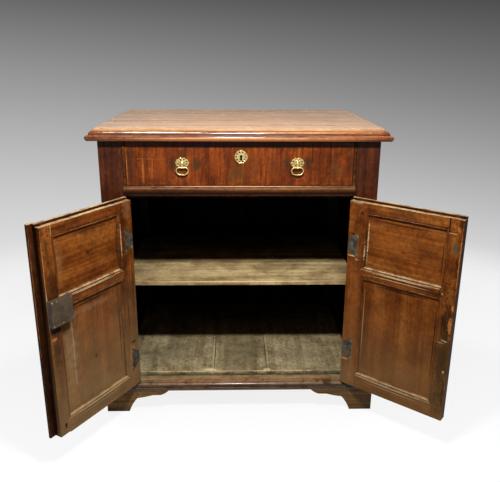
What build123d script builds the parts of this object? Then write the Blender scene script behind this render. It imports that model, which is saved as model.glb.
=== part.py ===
from build123d import *
import os

# Low oak cupboard: a joined carcass on bracket feet, one drawer over a pair of panelled doors.
# Millimetres. +Z is up and -Y is the front. While it is being built, x = 0 is the middle of the
# carcass, y = 0 its front plane and z = 0 the floor. At the end everything is moved so that the
# origin lies on the floor, under the middle of the whole with its doors standing open.

# --- carcass: outer size, and the heights that stack up from the floor ---
carcass_width = 760
carcass_depth = 548
foot_height = 70
bottom_rail_height = 24
door_opening_height = 574
drawer_rail_height = 27
drawer_opening_height = 121
top_rail_height = 16
top_thickness = 18

# --- posts and rails ---
front_post_width = 63
front_post_depth = 50
back_post_width = 50
back_post_depth = 45
bottom_rail_depth = 55
drawer_rail_depth = 60
top_rail_depth = 24
rail_tenon_length = 25
rail_tenon_inset = 8        # from the rail's front face to the tenon
rail_tenon_width = 12
rail_tenon_shoulder = 3
back_rail_thickness = 22
back_top_rail_height = 62
back_bottom_rail_height = 24
door_stop_width = 22
door_stop_thickness = 7

# --- side frames ---
side_rail_thickness = 25
side_bottom_rail_height = 78
side_middle_rail_height = 50    # its top is level with the top of the drawer rail
side_top_rail_height = 62

# --- joints and panels, in the doors and in the sides ---
side_tenon_length = 30
door_tenon_length = 20
panel_setback = 8           # from the show face to the panel's tongue
tongue_thickness = 7
tongue_length = 7
groove_depth = 8
panel_clearance = 1         # between the sight edge and the bevel of the panel
field_margin = 26           # width of the bevel round the raised field
field_rise = 3.5
field_step = 1.2
peg_radius = 3.2
peg_proud = 0.4
peg_inset = 12              # from the frame's shoulder to the peg's axis
peg_edge = 12               # from the edge of a rail to its peg

# --- mouldings worked on the inner edges of the frames: (distance from the edge, depth) ---
inner_moulding_width = 10
inner_fillet = (1.6, 6)
inner_ovolo_foot = (1.6, 5)
inner_ovolo_middle = (3.6, 2.4)
inner_ovolo_head = (6.8, 1.2)
inner_quirk = (7.6, 2.4)
inner_bead_middle = (8.5, 0.7)
show_moulding_width = 9
show_fillet = (1.5, 5)
show_ovolo_foot = (1.5, 4.4)
show_ovolo_middle = (3.6, 2)
show_ovolo_head = (7.4, 0.9)

# --- doors ---
door_thickness = 23
front_layer = 9             # thickness of the lips that the top rebates leave at the front
door_side_gap = 1.5
door_bottom_gap = 2
door_top_gap = 2
door_stop_gap = 0.5
meeting_gap = 1.5
cover_strip_width = 24
cover_strip_thickness = 11
cover_strip_bevel = 4
meeting_lap = 13            # how far the left door's cover strip passes the middle
lap_play = 0.3              # between the strip and the face of the right door
stile_end_round = 5         # worn round of the left meeting stile's foot
door_sill_clearance = 1.5   # from the closed doors to the floor boards
hinge_stile_width = 54
meeting_stile_width = 43
door_bottom_rail_height = 48
door_middle_rail_height = 41
door_upper_panel_height = 146
door_top_rail_height = 43
left_open_angle = 121
right_open_angle = 139

# --- iron butterfly hinges ---
knuckle_radius = 4
knuckle_clearance = 0.3
pin_radius = 1.5
pin_clearance = 0.05
pin_overhang = 1
hinge_height = 31
middle_knuckle_height = 10
wing_spread = 76
wing_length = 31
leaf_thickness = 2
leaf_setback = 5            # from the pin to the start of the leaves beside another knuckle
left_hinge_heights = (186, 549)
right_hinge_heights = (214, 534)

# --- drawer ---
bead_width = 8
bead_depth = 9
bead_projection = 3
drawer_side_gap = 1
drawer_front_gap = 1        # above and below the drawer front
drawer_running_gap = 0.3
drawer_back_space = 34      # from the drawer's back to the rails behind it
drawer_front_thickness = 22
drawer_side_thickness = 12
drawer_side_drop = 3        # top of the sides below the top of the front
drawer_back_drop = 15
drawer_bottom_thickness = 9
drawer_bottom_rebate = 6
drawer_bottom_lift = 1.5
drawer_bottom_seam = 250
dovetail_length = 14
dovetail_count = 3
dovetail_root = 16
dovetail_flare = 3.5
runner_width = 60
runner_thickness = 20
guide_height = 18

# --- boards ---
board_gap = 0.6
board_clearance = 1
floor_thickness = 14
floor_left_seam = -79
floor_right_seam = 84
back_board_thickness = 12
back_rebate_width = 12
back_board_shares = (0.335, 0.302, 0.26)    # of the width between the back rebates
shelf_height = 385
shelf_thickness = 12
shelf_setback = 75
bearer_thickness = 18
bearer_height = 22
top_overhang = 7
top_back_overhang = 8
top_board_widths = (196, 188)

# --- mouldings round the carcass: (projection, height over or under their reference level) ---
cornice_projection = 27
cornice_drop = 13           # hangs this far under the top boards
cornice_top = 13            # above the underside of the top boards
cornice_ovolo_middle = (15.2, 10.6)
cornice_ovolo_foot = (18, 4)
cornice_quirk = (18, 2)
cornice_bead_middle = (25, 0.4)
cornice_bead_tip = (27, -6)
cornice_bead_foot = (23, -12.5)
base_projection = 22
base_height = 23
base_lip = 8
base_fillet = (10, 21)
base_torus_middle = (17, 18)
base_torus_foot = (19.5, 8)
band_projection = 9
band_height = 21
band_fillet = (5, 2)
band_shoulder = (3.5, 2.6)

# --- bracket feet: (distance from the outer corner, height) ---
bracket_thickness = 20
foot_pad = 66.5
foot_ankle = (76, 22)
foot_heel = (92, 45)
foot_waist = (116, 49)
foot_cusp = (138, 54.5)
foot_shoulder = (162, 55)
foot_spring = (176, 61)
foot_span = 187
block_width = 50
block_lift = 4

# --- brass ---
handle_offset = 156         # from the middle to each handle
handle_drop = 57            # from the top of the drawer opening to the boss
plate_width = 37
plate_height = 28
plate_thickness = 1.2
plate_hole_radius = 1.7
plate_hole_ring = (12.5, 8.6)
plate_hole_count = 6
boss_radius = 5.5
boss_height = 5
boss_shoulder = (4.1, 3.5)
shank_radius = 2.2
shank_end = 5
eye_thickness = 4
eye_radius = 3.4
eye_drop = 12.5             # from the boss down to the bail's pin
eye_reach = 5.4             # from the plate to the bail's pin
eye_stem = 4
bail_width = 36
bail_height = 23
bail_bar_radius = 1.8
bail_top_radius = 8
bail_bottom_radius = 12
bail_clearance = 0.08
bail_knop_radius = 3
drawer_escutcheon_diameter = 36
escutcheon_shift = 3
escutcheon_drop = 41
keyhole_radius = 2.6
keyhole_slot = 2.8
keyhole_length = 12

# --- locks ---
lock_wall = 1.6
lock_depth = 13
bolt_clearance = 0.3
bolt_lift = 3               # from the wood to the bolt
drawer_lock_width = 64
drawer_lock_height = 50
drawer_lock_drop = 2
drawer_bolt_width = 26
drawer_bolt_thickness = 5
drawer_bolt_length = 28
door_lock_width = 67
door_lock_height = 68
door_lock_drop = 14         # below the middle of the door's middle rail
door_lock_edge = 0.5        # from the edge of the stile to the case
door_bolt_height = 22
door_bolt_thickness = 6
door_bolt_length = 48
door_escutcheon_diameter = 18.5
door_keyhole_inset = 20
door_keyhole_drop = 8        # from the bolt to the round of the keyhole
strike_bed_width = 28
strike_bed_depth = 2
strike_bed_height = 167
strike_bed_rise = 13        # above the middle rail
catch_bed_width = 21
catch_bed_height = 38
catch_bed_depth = 5
catch_bed_edge = 15

# --- levels and clear widths that follow from the above ---
sill_level = foot_height + bottom_rail_height
head_level = sill_level + door_opening_height
drawer_sill_level = head_level + drawer_rail_height
drawer_head_level = drawer_sill_level + drawer_opening_height
frame_top = drawer_head_level + top_rail_height
top_level = frame_top + top_thickness

half_width = carcass_width / 2
opening_half = half_width - front_post_width
back_opening_half = half_width - back_post_width
back_post_y = carcass_depth - back_post_depth
back_inner_y = carcass_depth - back_board_thickness
drawer_length = back_inner_y - back_rail_thickness - drawer_back_space
side_inner_x = half_width - side_rail_thickness
floor_front_y = door_thickness + door_sill_clearance
hair = 0.01                 # how far a cutter runs past the face that it opens


nodes = {}                  # solids by node name


def add(node, shapes):
    """Files a shape, or a list of shapes, under the node's name."""
    listed = shapes if isinstance(shapes, list) else [shapes]
    nodes[node] = [solid for shape in listed for solid in shape.solids()]


def block(x0, x1, y0, y1, z0, z1):
    """A box from its six limits."""
    centre = ((x0 + x1) / 2, (y0 + y1) / 2, (z0 + z1) / 2)
    return Pos(*centre) * Box(abs(x1 - x0), abs(y1 - y0), abs(z1 - z0))


def mirrored(solid):
    """The same piece on the other side of the middle."""
    return mirror(solid, about=Plane.YZ)


def prism_xy(points, z0, z1):
    outline = Plane.XY.offset(z0) * make_face(Polyline(points, close=True))
    return extrude(outline, amount=z1 - z0, dir=(0, 0, 1))


def prism_xz(points, y0, y1):
    outline = Plane((0, y0, 0), (1, 0, 0), (0, -1, 0)) * make_face(Polyline(points, close=True))
    return extrude(outline, amount=y1 - y0, dir=(0, 1, 0))


def bar_x(x0, x1, y, z, radius):
    return extrude(Plane((x0, y, z), (0, 1, 0), (1, 0, 0)) * Circle(radius), amount=x1 - x0)


def bar_y(x, y0, y1, z, radius):
    return extrude(Plane((x, y0, z), (1, 0, 0), (0, 1, 0)) * Circle(radius), amount=y1 - y0)


def bar_z(x, y, z0, z1, radius):
    return extrude(Plane.XY.offset(z0) * Pos(x, y) * Circle(radius), amount=z1 - z0)


def joined(solids):
    whole = solids[0]
    for solid in solids[1:]:
        whole = whole + solid
    return whole


# ------------------------------------------------------------------ panelled frames
# A frame is laid out with X along its width, Y from the show face inwards and Z up.

def inner_section():
    """What the plane takes off an inner edge: fillet, ovolo, quirk and bead."""
    edge = -hair
    end = inner_moulding_width
    return make_face([
        Line((edge, edge), (edge, inner_fillet[1])),
        Line((edge, inner_fillet[1]), inner_fillet),
        Line(inner_fillet, inner_ovolo_foot),
        ThreePointArc(inner_ovolo_foot, inner_ovolo_middle, inner_ovolo_head),
        Line(inner_ovolo_head, (inner_ovolo_head[0], inner_quirk[1])),
        Line((inner_ovolo_head[0], inner_quirk[1]), inner_quirk),
        ThreePointArc(inner_quirk, inner_bead_middle, (end, 0)),
        Line((end, 0), (end, edge)),
        Line((end, edge), (edge, edge)),
    ])


def show_section():
    """What the plane takes off an edge of a show face: fillet, ovolo and a step."""
    edge = -hair
    end = show_moulding_width
    step = show_ovolo_head[1]
    return make_face([
        Line((edge, edge), (edge, show_fillet[1])),
        Line((edge, show_fillet[1]), show_fillet),
        Line(show_fillet, show_ovolo_foot),
        ThreePointArc(show_ovolo_foot, show_ovolo_middle, show_ovolo_head),
        Line(show_ovolo_head, (end, step)),
        Line((end, step), (end, edge)),
        Line((end, edge), (edge, edge)),
    ])


def moulding_run(section, length):
    """Straight waste along X, below the sight line z = 0, in wood whose face is y = 0."""
    plane = Plane(origin=(0, 0, 0), x_dir=(0, 0, -1), z_dir=(1, 0, 0))
    return extrude(plane * section, amount=length / 2, both=True)


def opening_runs(left, right, low, high, sides, mitre):
    """Moulding waste round one opening: for the rails above and below it, and for the
    uprights beside it. sides lists (face y, wood behind or before it, section)."""
    middle_x = (left + right) / 2
    middle_z = (low + high) / 2
    across, upright = [], []
    for face, behind, section in sides:
        flat = moulding_run(section, right - left + 2 * mitre)
        tall = moulding_run(section, high - low + 2 * mitre)
        if not behind:
            flat = mirror(flat, about=Plane.XZ)
            tall = mirror(tall, about=Plane.XZ)
        across.append(Pos(middle_x, face, low) * flat)
        across.append(Pos(middle_x, face, high) * Rot(0, 180, 0) * flat)
        upright.append(Pos(left, face, middle_z) * Rot(0, 90, 0) * tall)
        upright.append(Pos(right, face, middle_z) * Rot(0, -90, 0) * tall)
    return across, upright


def rail_blank(left, right, low, high, thickness, mitre, tenon_length, panel_below,
               panel_above):
    """A rail with mitred shoulders and a tenon at each end, in line with the panel groove."""
    far_left, far_right = left - mitre, right + mitre
    points = []
    if panel_below:
        points += [(left, low), (far_left, low + mitre)]
    else:
        points += [(far_left, low)]
    if panel_above:
        points += [(far_left, high - mitre), (left, high), (right, high)]
        points += [(far_right, high - mitre)]
    else:
        points += [(far_left, high), (far_right, high)]
    if panel_below:
        points += [(far_right, low + mitre), (right, low)]
    else:
        points += [(far_right, low)]
    body = prism_xz(points, 0, thickness)
    tenon_low = low + (groove_depth if panel_below else rail_tenon_shoulder)
    tenon_high = high - (groove_depth if panel_above else rail_tenon_shoulder)
    tenon = block(far_left - tenon_length, far_right + tenon_length,
                  panel_setback, panel_setback + tongue_thickness, tenon_low, tenon_high)
    return body + tenon


def raised_panel(left, right, low, high):
    """A panel whose bevel rises to a field on the show side; its inner side is flat."""
    tongue = block(left - tongue_length, right + tongue_length, panel_setback,
                   panel_setback + tongue_thickness, low - tongue_length, high + tongue_length)
    middle = ((left + right) / 2, panel_setback, (low + high) / 2)
    outward = Plane(origin=middle, x_dir=(1, 0, 0), z_dir=(0, -1, 0))
    width, height = right - left, high - low
    foot = Rectangle(width - 2 * panel_clearance, height - 2 * panel_clearance)
    field = Rectangle(width - 2 * field_margin, height - 2 * field_margin)
    bevel = loft([outward * foot, outward.offset(field_rise - field_step) * field])
    return tongue + bevel + extrude(outward * field, amount=field_rise)


def panelled(left, right, rail_levels, thickness, sides, mitre, tenon_length):
    """The rails and panels between two sight lines, and the waste that they take out of the
    uprights. rail_levels lists (low, high) from the bottom upwards."""
    rails, panels, waste = [], [], []
    last = len(rail_levels) - 1
    for index, (low, high) in enumerate(rail_levels):
        blank = rail_blank(left, right, low, high, thickness, mitre, tenon_length, index > 0,
                           index < last)
        rails.append(blank)
        waste.append(blank)
    for index in range(last):
        low = rail_levels[index][1]
        high = rail_levels[index + 1][0]
        groove = block(left - groove_depth, right + groove_depth, panel_setback,
                       panel_setback + tongue_thickness, low - groove_depth, high + groove_depth)
        across, upright = opening_runs(left, right, low, high, sides, mitre)
        for near in (index, index + 1):
            rails[near] = rails[near] - [groove] - across
        waste += [groove] + upright
        panels.append(raised_panel(left, right, low, high))
    return rails, panels, waste


# ------------------------------------------------------------------ carcass

def side_frame():
    """Rails, panels and pegs of the right side, and the waste in its posts."""
    levels = [
        (foot_height, foot_height + side_bottom_rail_height),
        (drawer_sill_level - side_middle_rail_height, drawer_sill_level),
        (frame_top - side_top_rail_height, frame_top),
    ]
    sides = [(0, True, show_section())]
    rails, panels, waste = panelled(front_post_depth, back_post_y, levels, side_rail_thickness,
                                    sides, show_moulding_width, side_tenon_length)
    pegs = []
    for low, high in levels:
        bare_low = max(low, foot_height + base_height)
        bare_high = min(high, frame_top - cornice_drop)
        for height in (bare_low + peg_edge, bare_high - peg_edge):
            for y in (front_post_depth - show_moulding_width - peg_inset,
                      back_post_y + show_moulding_width + peg_inset):
                pegs.append(bar_y(y, -peg_proud, side_rail_thickness, height, peg_radius))
    place = Pos(half_width, 0, 0) * Rot(0, 0, 90)
    rails = [place * rail for rail in rails]
    panels = [place * panel for panel in panels]
    waste = [place * piece for piece in waste]
    pegs = [place * peg for peg in pegs]
    rails = [rail - pegs for rail in rails]
    return rails, panels, waste, pegs


def cross_rail(half_length, y0, y1, z0, z1):
    """A rail across the carcass, with a tenon at each end."""
    tenon_end = half_length + rail_tenon_length
    tenon_y = y0 + rail_tenon_inset
    tenon = block(-tenon_end, tenon_end, tenon_y, tenon_y + rail_tenon_width,
                  z0 + rail_tenon_shoulder, z1 - rail_tenon_shoulder)
    return block(-half_length, half_length, y0, y1, z0, z1) + tenon


def front_pegs():
    """Pegs through the posts and the tenons of the top and drawer rails. Those of the top
    rail end flush, under the cornice."""
    pegs = []
    x = opening_half + peg_inset
    end = rail_tenon_inset + rail_tenon_width + peg_inset
    for start, height in ((0, drawer_head_level + top_rail_height / 2),
                          (-peg_proud, head_level + drawer_rail_height / 2)):
        peg = bar_y(x, start, end, height, peg_radius)
        pegs += [peg, mirrored(peg)]
    return pegs


def carcass_frame(side, hinges):
    """Posts and rails. side is the right side frame, hinges those of the two doors."""
    side_rails, side_panels, side_waste, side_pegs = side
    back_y0 = back_inner_y - back_rail_thickness
    top_rail = cross_rail(opening_half, 0, top_rail_depth, drawer_head_level, frame_top)
    drawer_rail = cross_rail(opening_half, 0, drawer_rail_depth, head_level, drawer_sill_level)
    bottom_rail = cross_rail(opening_half, 0, bottom_rail_depth, foot_height, sill_level)
    back_rails = [
        cross_rail(back_opening_half, back_y0, back_inner_y,
                   frame_top - back_top_rail_height, frame_top),
        cross_rail(back_opening_half, back_y0, back_inner_y,
                   foot_height, foot_height + back_bottom_rail_height),
    ]
    pegs = front_pegs()
    front_blank = block(opening_half, half_width, 0, front_post_depth, foot_height, frame_top)
    back_blank = block(back_opening_half, half_width, back_post_y, carcass_depth,
                       foot_height, frame_top)
    rebate = block(back_opening_half - hair, back_opening_half + back_rebate_width,
                   back_inner_y, carcass_depth + hair, foot_height - hair, frame_top + hair)
    front = front_blank - [top_rail, drawer_rail, bottom_rail] - pegs - side_waste - side_pegs
    back = back_blank - [rebate] - back_rails - side_waste - side_pegs
    left_cuts, right_cuts = hinges
    add("front_post_left", mirrored(front) - left_cuts)
    add("front_post_right", front - right_cuts)
    add("back_posts", [mirrored(back), back])
    add("top_rail", top_rail - pegs)
    add("drawer_rail", drawer_rail - pegs)
    add("bottom_rail", bottom_rail)
    add("back_rails", back_rails)
    add("side_rails_right", side_rails)
    add("side_rails_left", [mirrored(rail) for rail in side_rails])
    add("side_panels_right", side_panels)
    add("side_panels_left", [mirrored(panel) for panel in side_panels])
    side_pegs_left = [mirrored(peg) for peg in side_pegs]
    add("carcass_pegs", pegs + side_pegs + side_pegs_left)


def door_stop():
    """Strip under the drawer rail that the doors' upper lips shut against."""
    y0 = front_layer + door_stop_gap
    return block(-opening_half, opening_half, y0, y0 + door_stop_width,
                 head_level - door_stop_thickness, head_level)


def mitred_mouldings(section, projection, z0, z1):
    """A moulding planted on the front and the sides, mitred at the front corners. The section
    is drawn with its projection along X and its height along Y."""
    reach = half_width + projection
    across = Plane(origin=(0, 0, z0), x_dir=(0, -1, 0), z_dir=(-1, 0, 0))
    along = Plane(origin=(half_width, 0, z0), x_dir=(1, 0, 0), z_dir=(0, -1, 0))
    front = extrude(across * section, amount=reach, both=True)
    side = extrude(along * section, amount=carcass_depth + projection, both=True)
    front_limit = prism_xy([(-reach, -projection), (reach, -projection), (half_width, 0),
                            (-half_width, 0)], z0 - projection, z1)
    side_limit = prism_xy([(half_width, 0), (reach, -projection), (reach, carcass_depth),
                           (half_width, carcass_depth)], z0 - projection, z1)
    side = side & side_limit
    return front & front_limit, [mirrored(side), side]


def cornice_section():
    over = top_overhang
    return make_face([
        Line((0, 0), (over, 0)),
        Line((over, 0), (over, cornice_top)),
        ThreePointArc((over, cornice_top), cornice_ovolo_middle, cornice_ovolo_foot),
        Line(cornice_ovolo_foot, cornice_quirk),
        ThreePointArc(cornice_quirk, cornice_bead_middle, cornice_bead_tip),
        Line(cornice_bead_tip, cornice_bead_foot),
        Line(cornice_bead_foot, (0, -cornice_drop)),
        Line((0, -cornice_drop), (0, 0)),
    ])


def base_section():
    lip = base_projection
    return make_face([
        Line((0, 0), (lip, 0)),
        Line((lip, 0), (lip, base_lip)),
        Line((lip, base_lip), base_torus_foot),
        ThreePointArc(base_torus_foot, base_torus_middle, base_fillet),
        Line(base_fillet, (base_fillet[0], base_height)),
        Line((base_fillet[0], base_height), (0, base_height)),
        Line((0, base_height), (0, 0)),
    ])


def drawer_mouldings():
    """A bead on each post beside the drawer and a half-round band on the rail under it."""
    edge = opening_half - bead_width
    crown = (opening_half - bead_width / 2, -bead_projection)
    bead_face = make_face([
        Line((edge, bead_depth), (edge, 0)),
        ThreePointArc((edge, 0), crown, (opening_half, 0)),
        Line((opening_half, 0), (opening_half, bead_depth)),
        Line((opening_half, bead_depth), (edge, bead_depth)),
    ])
    bead = extrude(Plane.XY.offset(drawer_sill_level) * bead_face, amount=drawer_opening_height)
    band_middle = (band_projection, (band_height - band_shoulder[1]) / 2)
    shoulder = (band_shoulder[0], band_height - band_shoulder[1])
    fillet = (band_fillet[0], band_height - band_fillet[1])
    band_face = make_face([
        ThreePointArc((0, 0), band_middle, shoulder),
        Line(shoulder, fillet),
        Line(fillet, (band_fillet[0], band_height)),
        Line((band_fillet[0], band_height), (0, band_height)),
        Line((0, band_height), (0, 0)),
    ])
    plane = Plane(origin=(0, 0, drawer_sill_level - band_height), x_dir=(0, -1, 0),
                  z_dir=(-1, 0, 0))
    band = extrude(plane * band_face, amount=opening_half, both=True)
    return [mirrored(bead), bead, band]


def boards():
    """Floor, back, shelf and top boards, with their bearers."""
    post_room = [
        block(opening_half - board_clearance, half_width, -hair,
              front_post_depth + board_clearance, foot_height, frame_top),
        block(back_opening_half - board_clearance, half_width, back_post_y - board_clearance,
              carcass_depth, foot_height, frame_top),
    ]
    post_room += [mirrored(room) for room in post_room]
    edge = side_inner_x - board_clearance
    half_gap = board_gap / 2
    seams = [(-edge, floor_left_seam - half_gap),
             (floor_left_seam + half_gap, floor_right_seam - half_gap),
             (floor_right_seam + half_gap, edge)]
    floor_back = back_inner_y - board_clearance
    floor = []
    for x0, x1 in seams:
        board = block(x0, x1, floor_front_y, floor_back, sill_level, sill_level + floor_thickness)
        floor.append(board - post_room)
    add("floor_boards", floor)

    shelf_low = shelf_height - shelf_thickness
    shelf = block(-edge, edge, shelf_setback, floor_back, shelf_low, shelf_height)
    add("shelf", shelf - post_room)
    bearer = block(side_inner_x - bearer_thickness, side_inner_x, front_post_depth, back_post_y,
                   shelf_low - bearer_height, shelf_low)
    add("shelf_bearers", [mirrored(bearer), bearer])

    x = -(back_opening_half + back_rebate_width)
    clear_width = -2 * x
    back = []
    for share in back_board_shares:
        width = share * clear_width
        back.append(block(x + half_gap, x + width - half_gap, back_inner_y, carcass_depth,
                          foot_height, frame_top))
        x = x + width
    back.append(block(x + half_gap, back_opening_half + back_rebate_width - half_gap,
                      back_inner_y, carcass_depth, foot_height, frame_top))
    add("back_boards", back)

    top_edge = half_width + top_overhang
    y = -top_overhang
    top = []
    for width in top_board_widths:
        top.append(block(-top_edge, top_edge, y, y + width - board_gap, frame_top, top_level))
        y = y + width
    top.append(block(-top_edge, top_edge, y, carcass_depth + top_back_overhang,
                     frame_top, top_level))
    add("top_boards", top)


def foot_outline():
    """Outline of a bracket: X runs from the outer corner, Y is the height."""
    return make_face([
        Line((0, 0), (foot_pad, 0)),
        ThreePointArc((foot_pad, 0), foot_ankle, foot_heel),
        ThreePointArc(foot_heel, foot_waist, foot_cusp),
        Line(foot_cusp, foot_shoulder),
        ThreePointArc(foot_shoulder, foot_spring, (foot_span, foot_height)),
        Line((foot_span, foot_height), (0, foot_height)),
        Line((0, foot_height), (0, 0)),
    ])


def feet():
    """Bracket feet, mitred at the front corners, with a block inside each corner."""
    corner_x = half_width + base_projection
    corner_y = -base_projection
    inner_x = corner_x - bracket_thickness
    inner_y = corner_y + bracket_thickness
    outline = foot_outline()
    face_front = Plane(origin=(corner_x, inner_y, 0), x_dir=(-1, 0, 0), z_dir=(0, 1, 0))
    face_side = Plane(origin=(inner_x, corner_y, 0), x_dir=(0, 1, 0), z_dir=(1, 0, 0))
    face_back = Plane(origin=(inner_x, carcass_depth, 0), x_dir=(0, -1, 0), z_dir=(-1, 0, 0))
    front = extrude(face_front * outline, amount=bracket_thickness, dir=(0, -1, 0))
    side = extrude(face_side * outline, amount=bracket_thickness, dir=(1, 0, 0))
    back = extrude(face_back * outline, amount=bracket_thickness, dir=(1, 0, 0))
    far = foot_span + bracket_thickness
    front_limit = prism_xy([(corner_x, corner_y), (inner_x, inner_y), (corner_x - far, inner_y),
                            (corner_x - far, corner_y)], 0, foot_height)
    side_limit = prism_xy([(corner_x, corner_y), (inner_x, inner_y), (inner_x, corner_y + far),
                           (corner_x, corner_y + far)], 0, foot_height)
    right = [front & front_limit, side & side_limit]
    add("front_feet", right + [mirrored(piece) for piece in right])
    add("back_feet", [mirrored(back), back])
    blocks = []
    for y0, y1 in ((inner_y, inner_y + block_width),
                   (carcass_depth - block_width, carcass_depth)):
        corner = block(inner_x - block_width, inner_x, y0, y1, block_lift, foot_height)
        blocks += [mirrored(corner), corner]
    add("foot_blocks", blocks)


def runners():
    """The drawer's runners, and the guides on them that keep it straight."""
    guide_x = opening_half - bead_width
    runner_x = side_inner_x - runner_width
    runner = block(runner_x, side_inner_x, drawer_rail_depth, back_post_y,
                   drawer_sill_level - runner_thickness, drawer_sill_level)
    guide = block(guide_x, side_inner_x, drawer_rail_depth, back_post_y,
                  drawer_sill_level, drawer_sill_level + guide_height)
    return [runner, guide, mirrored(runner), mirrored(guide)]


# ------------------------------------------------------------------ hinges
# Drawn about the pin of a left door that is shut: X runs along the door, Y into the carcass.

def hinge(height):
    """The two leaves and the pin of one hinge, and the room that its knuckles need."""
    half = hinge_height / 2
    middle = middle_knuckle_height / 2
    edge = door_side_gap
    inner = door_thickness - leaf_thickness
    wing_end = edge + wing_length
    wing = prism_xz([(edge, -half), (wing_end, -wing_spread / 2),
                     (wing_end, wing_spread / 2), (edge, half)], inner, door_thickness)
    strap = block(edge, edge + leaf_thickness, leaf_setback, door_thickness, -half, half)
    neck = block(edge, edge + leaf_thickness, 0, leaf_setback, -middle, middle)
    bore = bar_z(0, 0, -half, half, pin_radius + pin_clearance)
    door_leaf = wing + strap + neck + bar_z(0, 0, -middle, middle, knuckle_radius) - bore

    post_wing_end = leaf_setback + wing_length
    post_plate = make_face(Polyline([(leaf_setback, -half), (post_wing_end, -wing_spread / 2),
                                     (post_wing_end, wing_spread / 2), (leaf_setback, half)],
                                    close=True))
    post_plane = Plane(origin=(-leaf_thickness, 0, 0), x_dir=(0, 1, 0), z_dir=(1, 0, 0))
    post_leaf = extrude(post_plane * post_plate, amount=leaf_thickness)
    low = -half
    for knuckle_low, knuckle_high in ((low, -middle - knuckle_clearance),
                                      (middle + knuckle_clearance, half)):
        neck = block(-leaf_thickness, 0, 0, leaf_setback, knuckle_low, knuckle_high)
        knuckle = bar_z(0, 0, knuckle_low, knuckle_high, knuckle_radius)
        post_leaf = post_leaf + neck + knuckle
    pin = bar_z(0, 0, -half - pin_overhang, half + pin_overhang, pin_radius)
    post_leaf = post_leaf - pin
    room = bar_z(0, 0, -half - knuckle_clearance - pin_overhang,
                 half + knuckle_clearance + pin_overhang, knuckle_radius + knuckle_clearance)
    lift = Pos(0, 0, height)
    return [lift * piece for piece in (door_leaf, post_leaf, pin, room)]


# ------------------------------------------------------------------ doors
# Drawn as a left door that is shut, with the pin at x = 0, y = 0.

door_low = sill_level + door_bottom_gap
door_lip_top = head_level - door_top_gap
door_back_top = head_level - door_stop_thickness - door_top_gap
sight_left = door_side_gap + hinge_stile_width
meeting_edge = opening_half - meeting_gap / 2
sight_right = meeting_edge - meeting_stile_width
middle_rail_top = door_lip_top - door_top_rail_height - door_upper_panel_height
middle_rail_low = middle_rail_top - door_middle_rail_height
keyhole_middle = (keyhole_length - keyhole_radius) / 2      # below the round of the keyhole


def keyhole(x, y0, y1, z):
    """Room for a key: a round hole over a slot."""
    hole = bar_y(x, y0, y1, z, keyhole_radius)
    half_slot = keyhole_slot / 2
    return hole + block(x - half_slot, x + half_slot, y0, y1, z - keyhole_length, z)


def escutcheon(x, face, z, diameter):
    """A round brass plate on a front face, pierced by the keyhole."""
    plate = bar_y(x, face - plate_thickness, face, z - keyhole_middle, diameter / 2)
    return plate - keyhole(x, face - 2 * plate_thickness, face + plate_thickness, z)


def lock_case(x0, x1, y0, z0, z1):
    """An iron case that is open towards the wood that it is nailed on."""
    hollow = block(x0 + lock_wall, x1 - lock_wall, y0 - hair, y0 + lock_depth - lock_wall,
                   z0 + lock_wall, z1 - lock_wall)
    return block(x0, x1, y0, y0 + lock_depth, z0, z1) - hollow


def door(prefix, hinge_heights):
    """All pieces of a door by node name, and what its hinges take from the post."""
    levels = [
        (door_low, door_low + door_bottom_rail_height),
        (middle_rail_low, middle_rail_top),
        (door_lip_top - door_top_rail_height, door_lip_top),
    ]
    sides = [(0, True, show_section()), (door_thickness, False, inner_section())]
    rails, panels, waste = panelled(sight_left, sight_right, levels, door_thickness, sides,
                                    inner_moulding_width, door_tenon_length)
    rebate = block(-hair, opening_half, front_layer, door_thickness + hair, door_back_top,
                   door_lip_top + hair)
    pegs = []
    for low, high in levels:
        ends = min(high, door_back_top)
        for height in (low + peg_edge, ends - peg_edge):
            for x in (sight_left - inner_moulding_width - peg_inset,
                      sight_right + inner_moulding_width + peg_inset):
                pegs.append(bar_y(x, -peg_proud, door_thickness + peg_proud, height, peg_radius))
    rails = [rail - [rebate] - pegs for rail in rails]

    door_leaves, post_leaves, pins, rooms = [], [], [], []
    for height in hinge_heights:
        door_leaf, post_leaf, pin, room = hinge(height)
        door_leaves.append(door_leaf)
        post_leaves.append(post_leaf)
        pins.append(pin)
        rooms.append(room)
    hinge_stile = block(door_side_gap, sight_left, 0, door_thickness, door_low, door_lip_top)
    hinge_stile = hinge_stile - [rebate] - waste - pegs - door_leaves - rooms
    meeting_stile = block(sight_right, meeting_edge, 0, door_thickness, door_low, door_lip_top)
    meeting_stile = meeting_stile - [rebate] - waste - pegs
    pieces = {
        "hinge_stile": hinge_stile,
        "meeting_stile": meeting_stile,
        "top_rail": rails[2],
        "middle_rail": rails[1],
        "bottom_rail": rails[0],
        "upper_panel": panels[1],
        "lower_panel": panels[0],
        "pegs": pegs,
        "hinge_leaves": door_leaves,
    }
    named = {prefix + "_" + name: piece for name, piece in pieces.items()}
    return named, post_leaves, pins, rooms


def cover_strip():
    """Strip planted on the front of the left door, which shuts over the edge of the right one."""
    edge = opening_half + meeting_lap
    start = edge - cover_strip_width
    front = -cover_strip_thickness
    flat = cover_strip_bevel - cover_strip_thickness
    bevel = cover_strip_bevel
    return prism_xy([(start, 0), (start, flat), (start + bevel, front), (edge - bevel, front),
                     (edge, flat), (edge, -lap_play), (meeting_edge, -lap_play),
                     (meeting_edge, 0)], door_low, door_lip_top)


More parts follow.
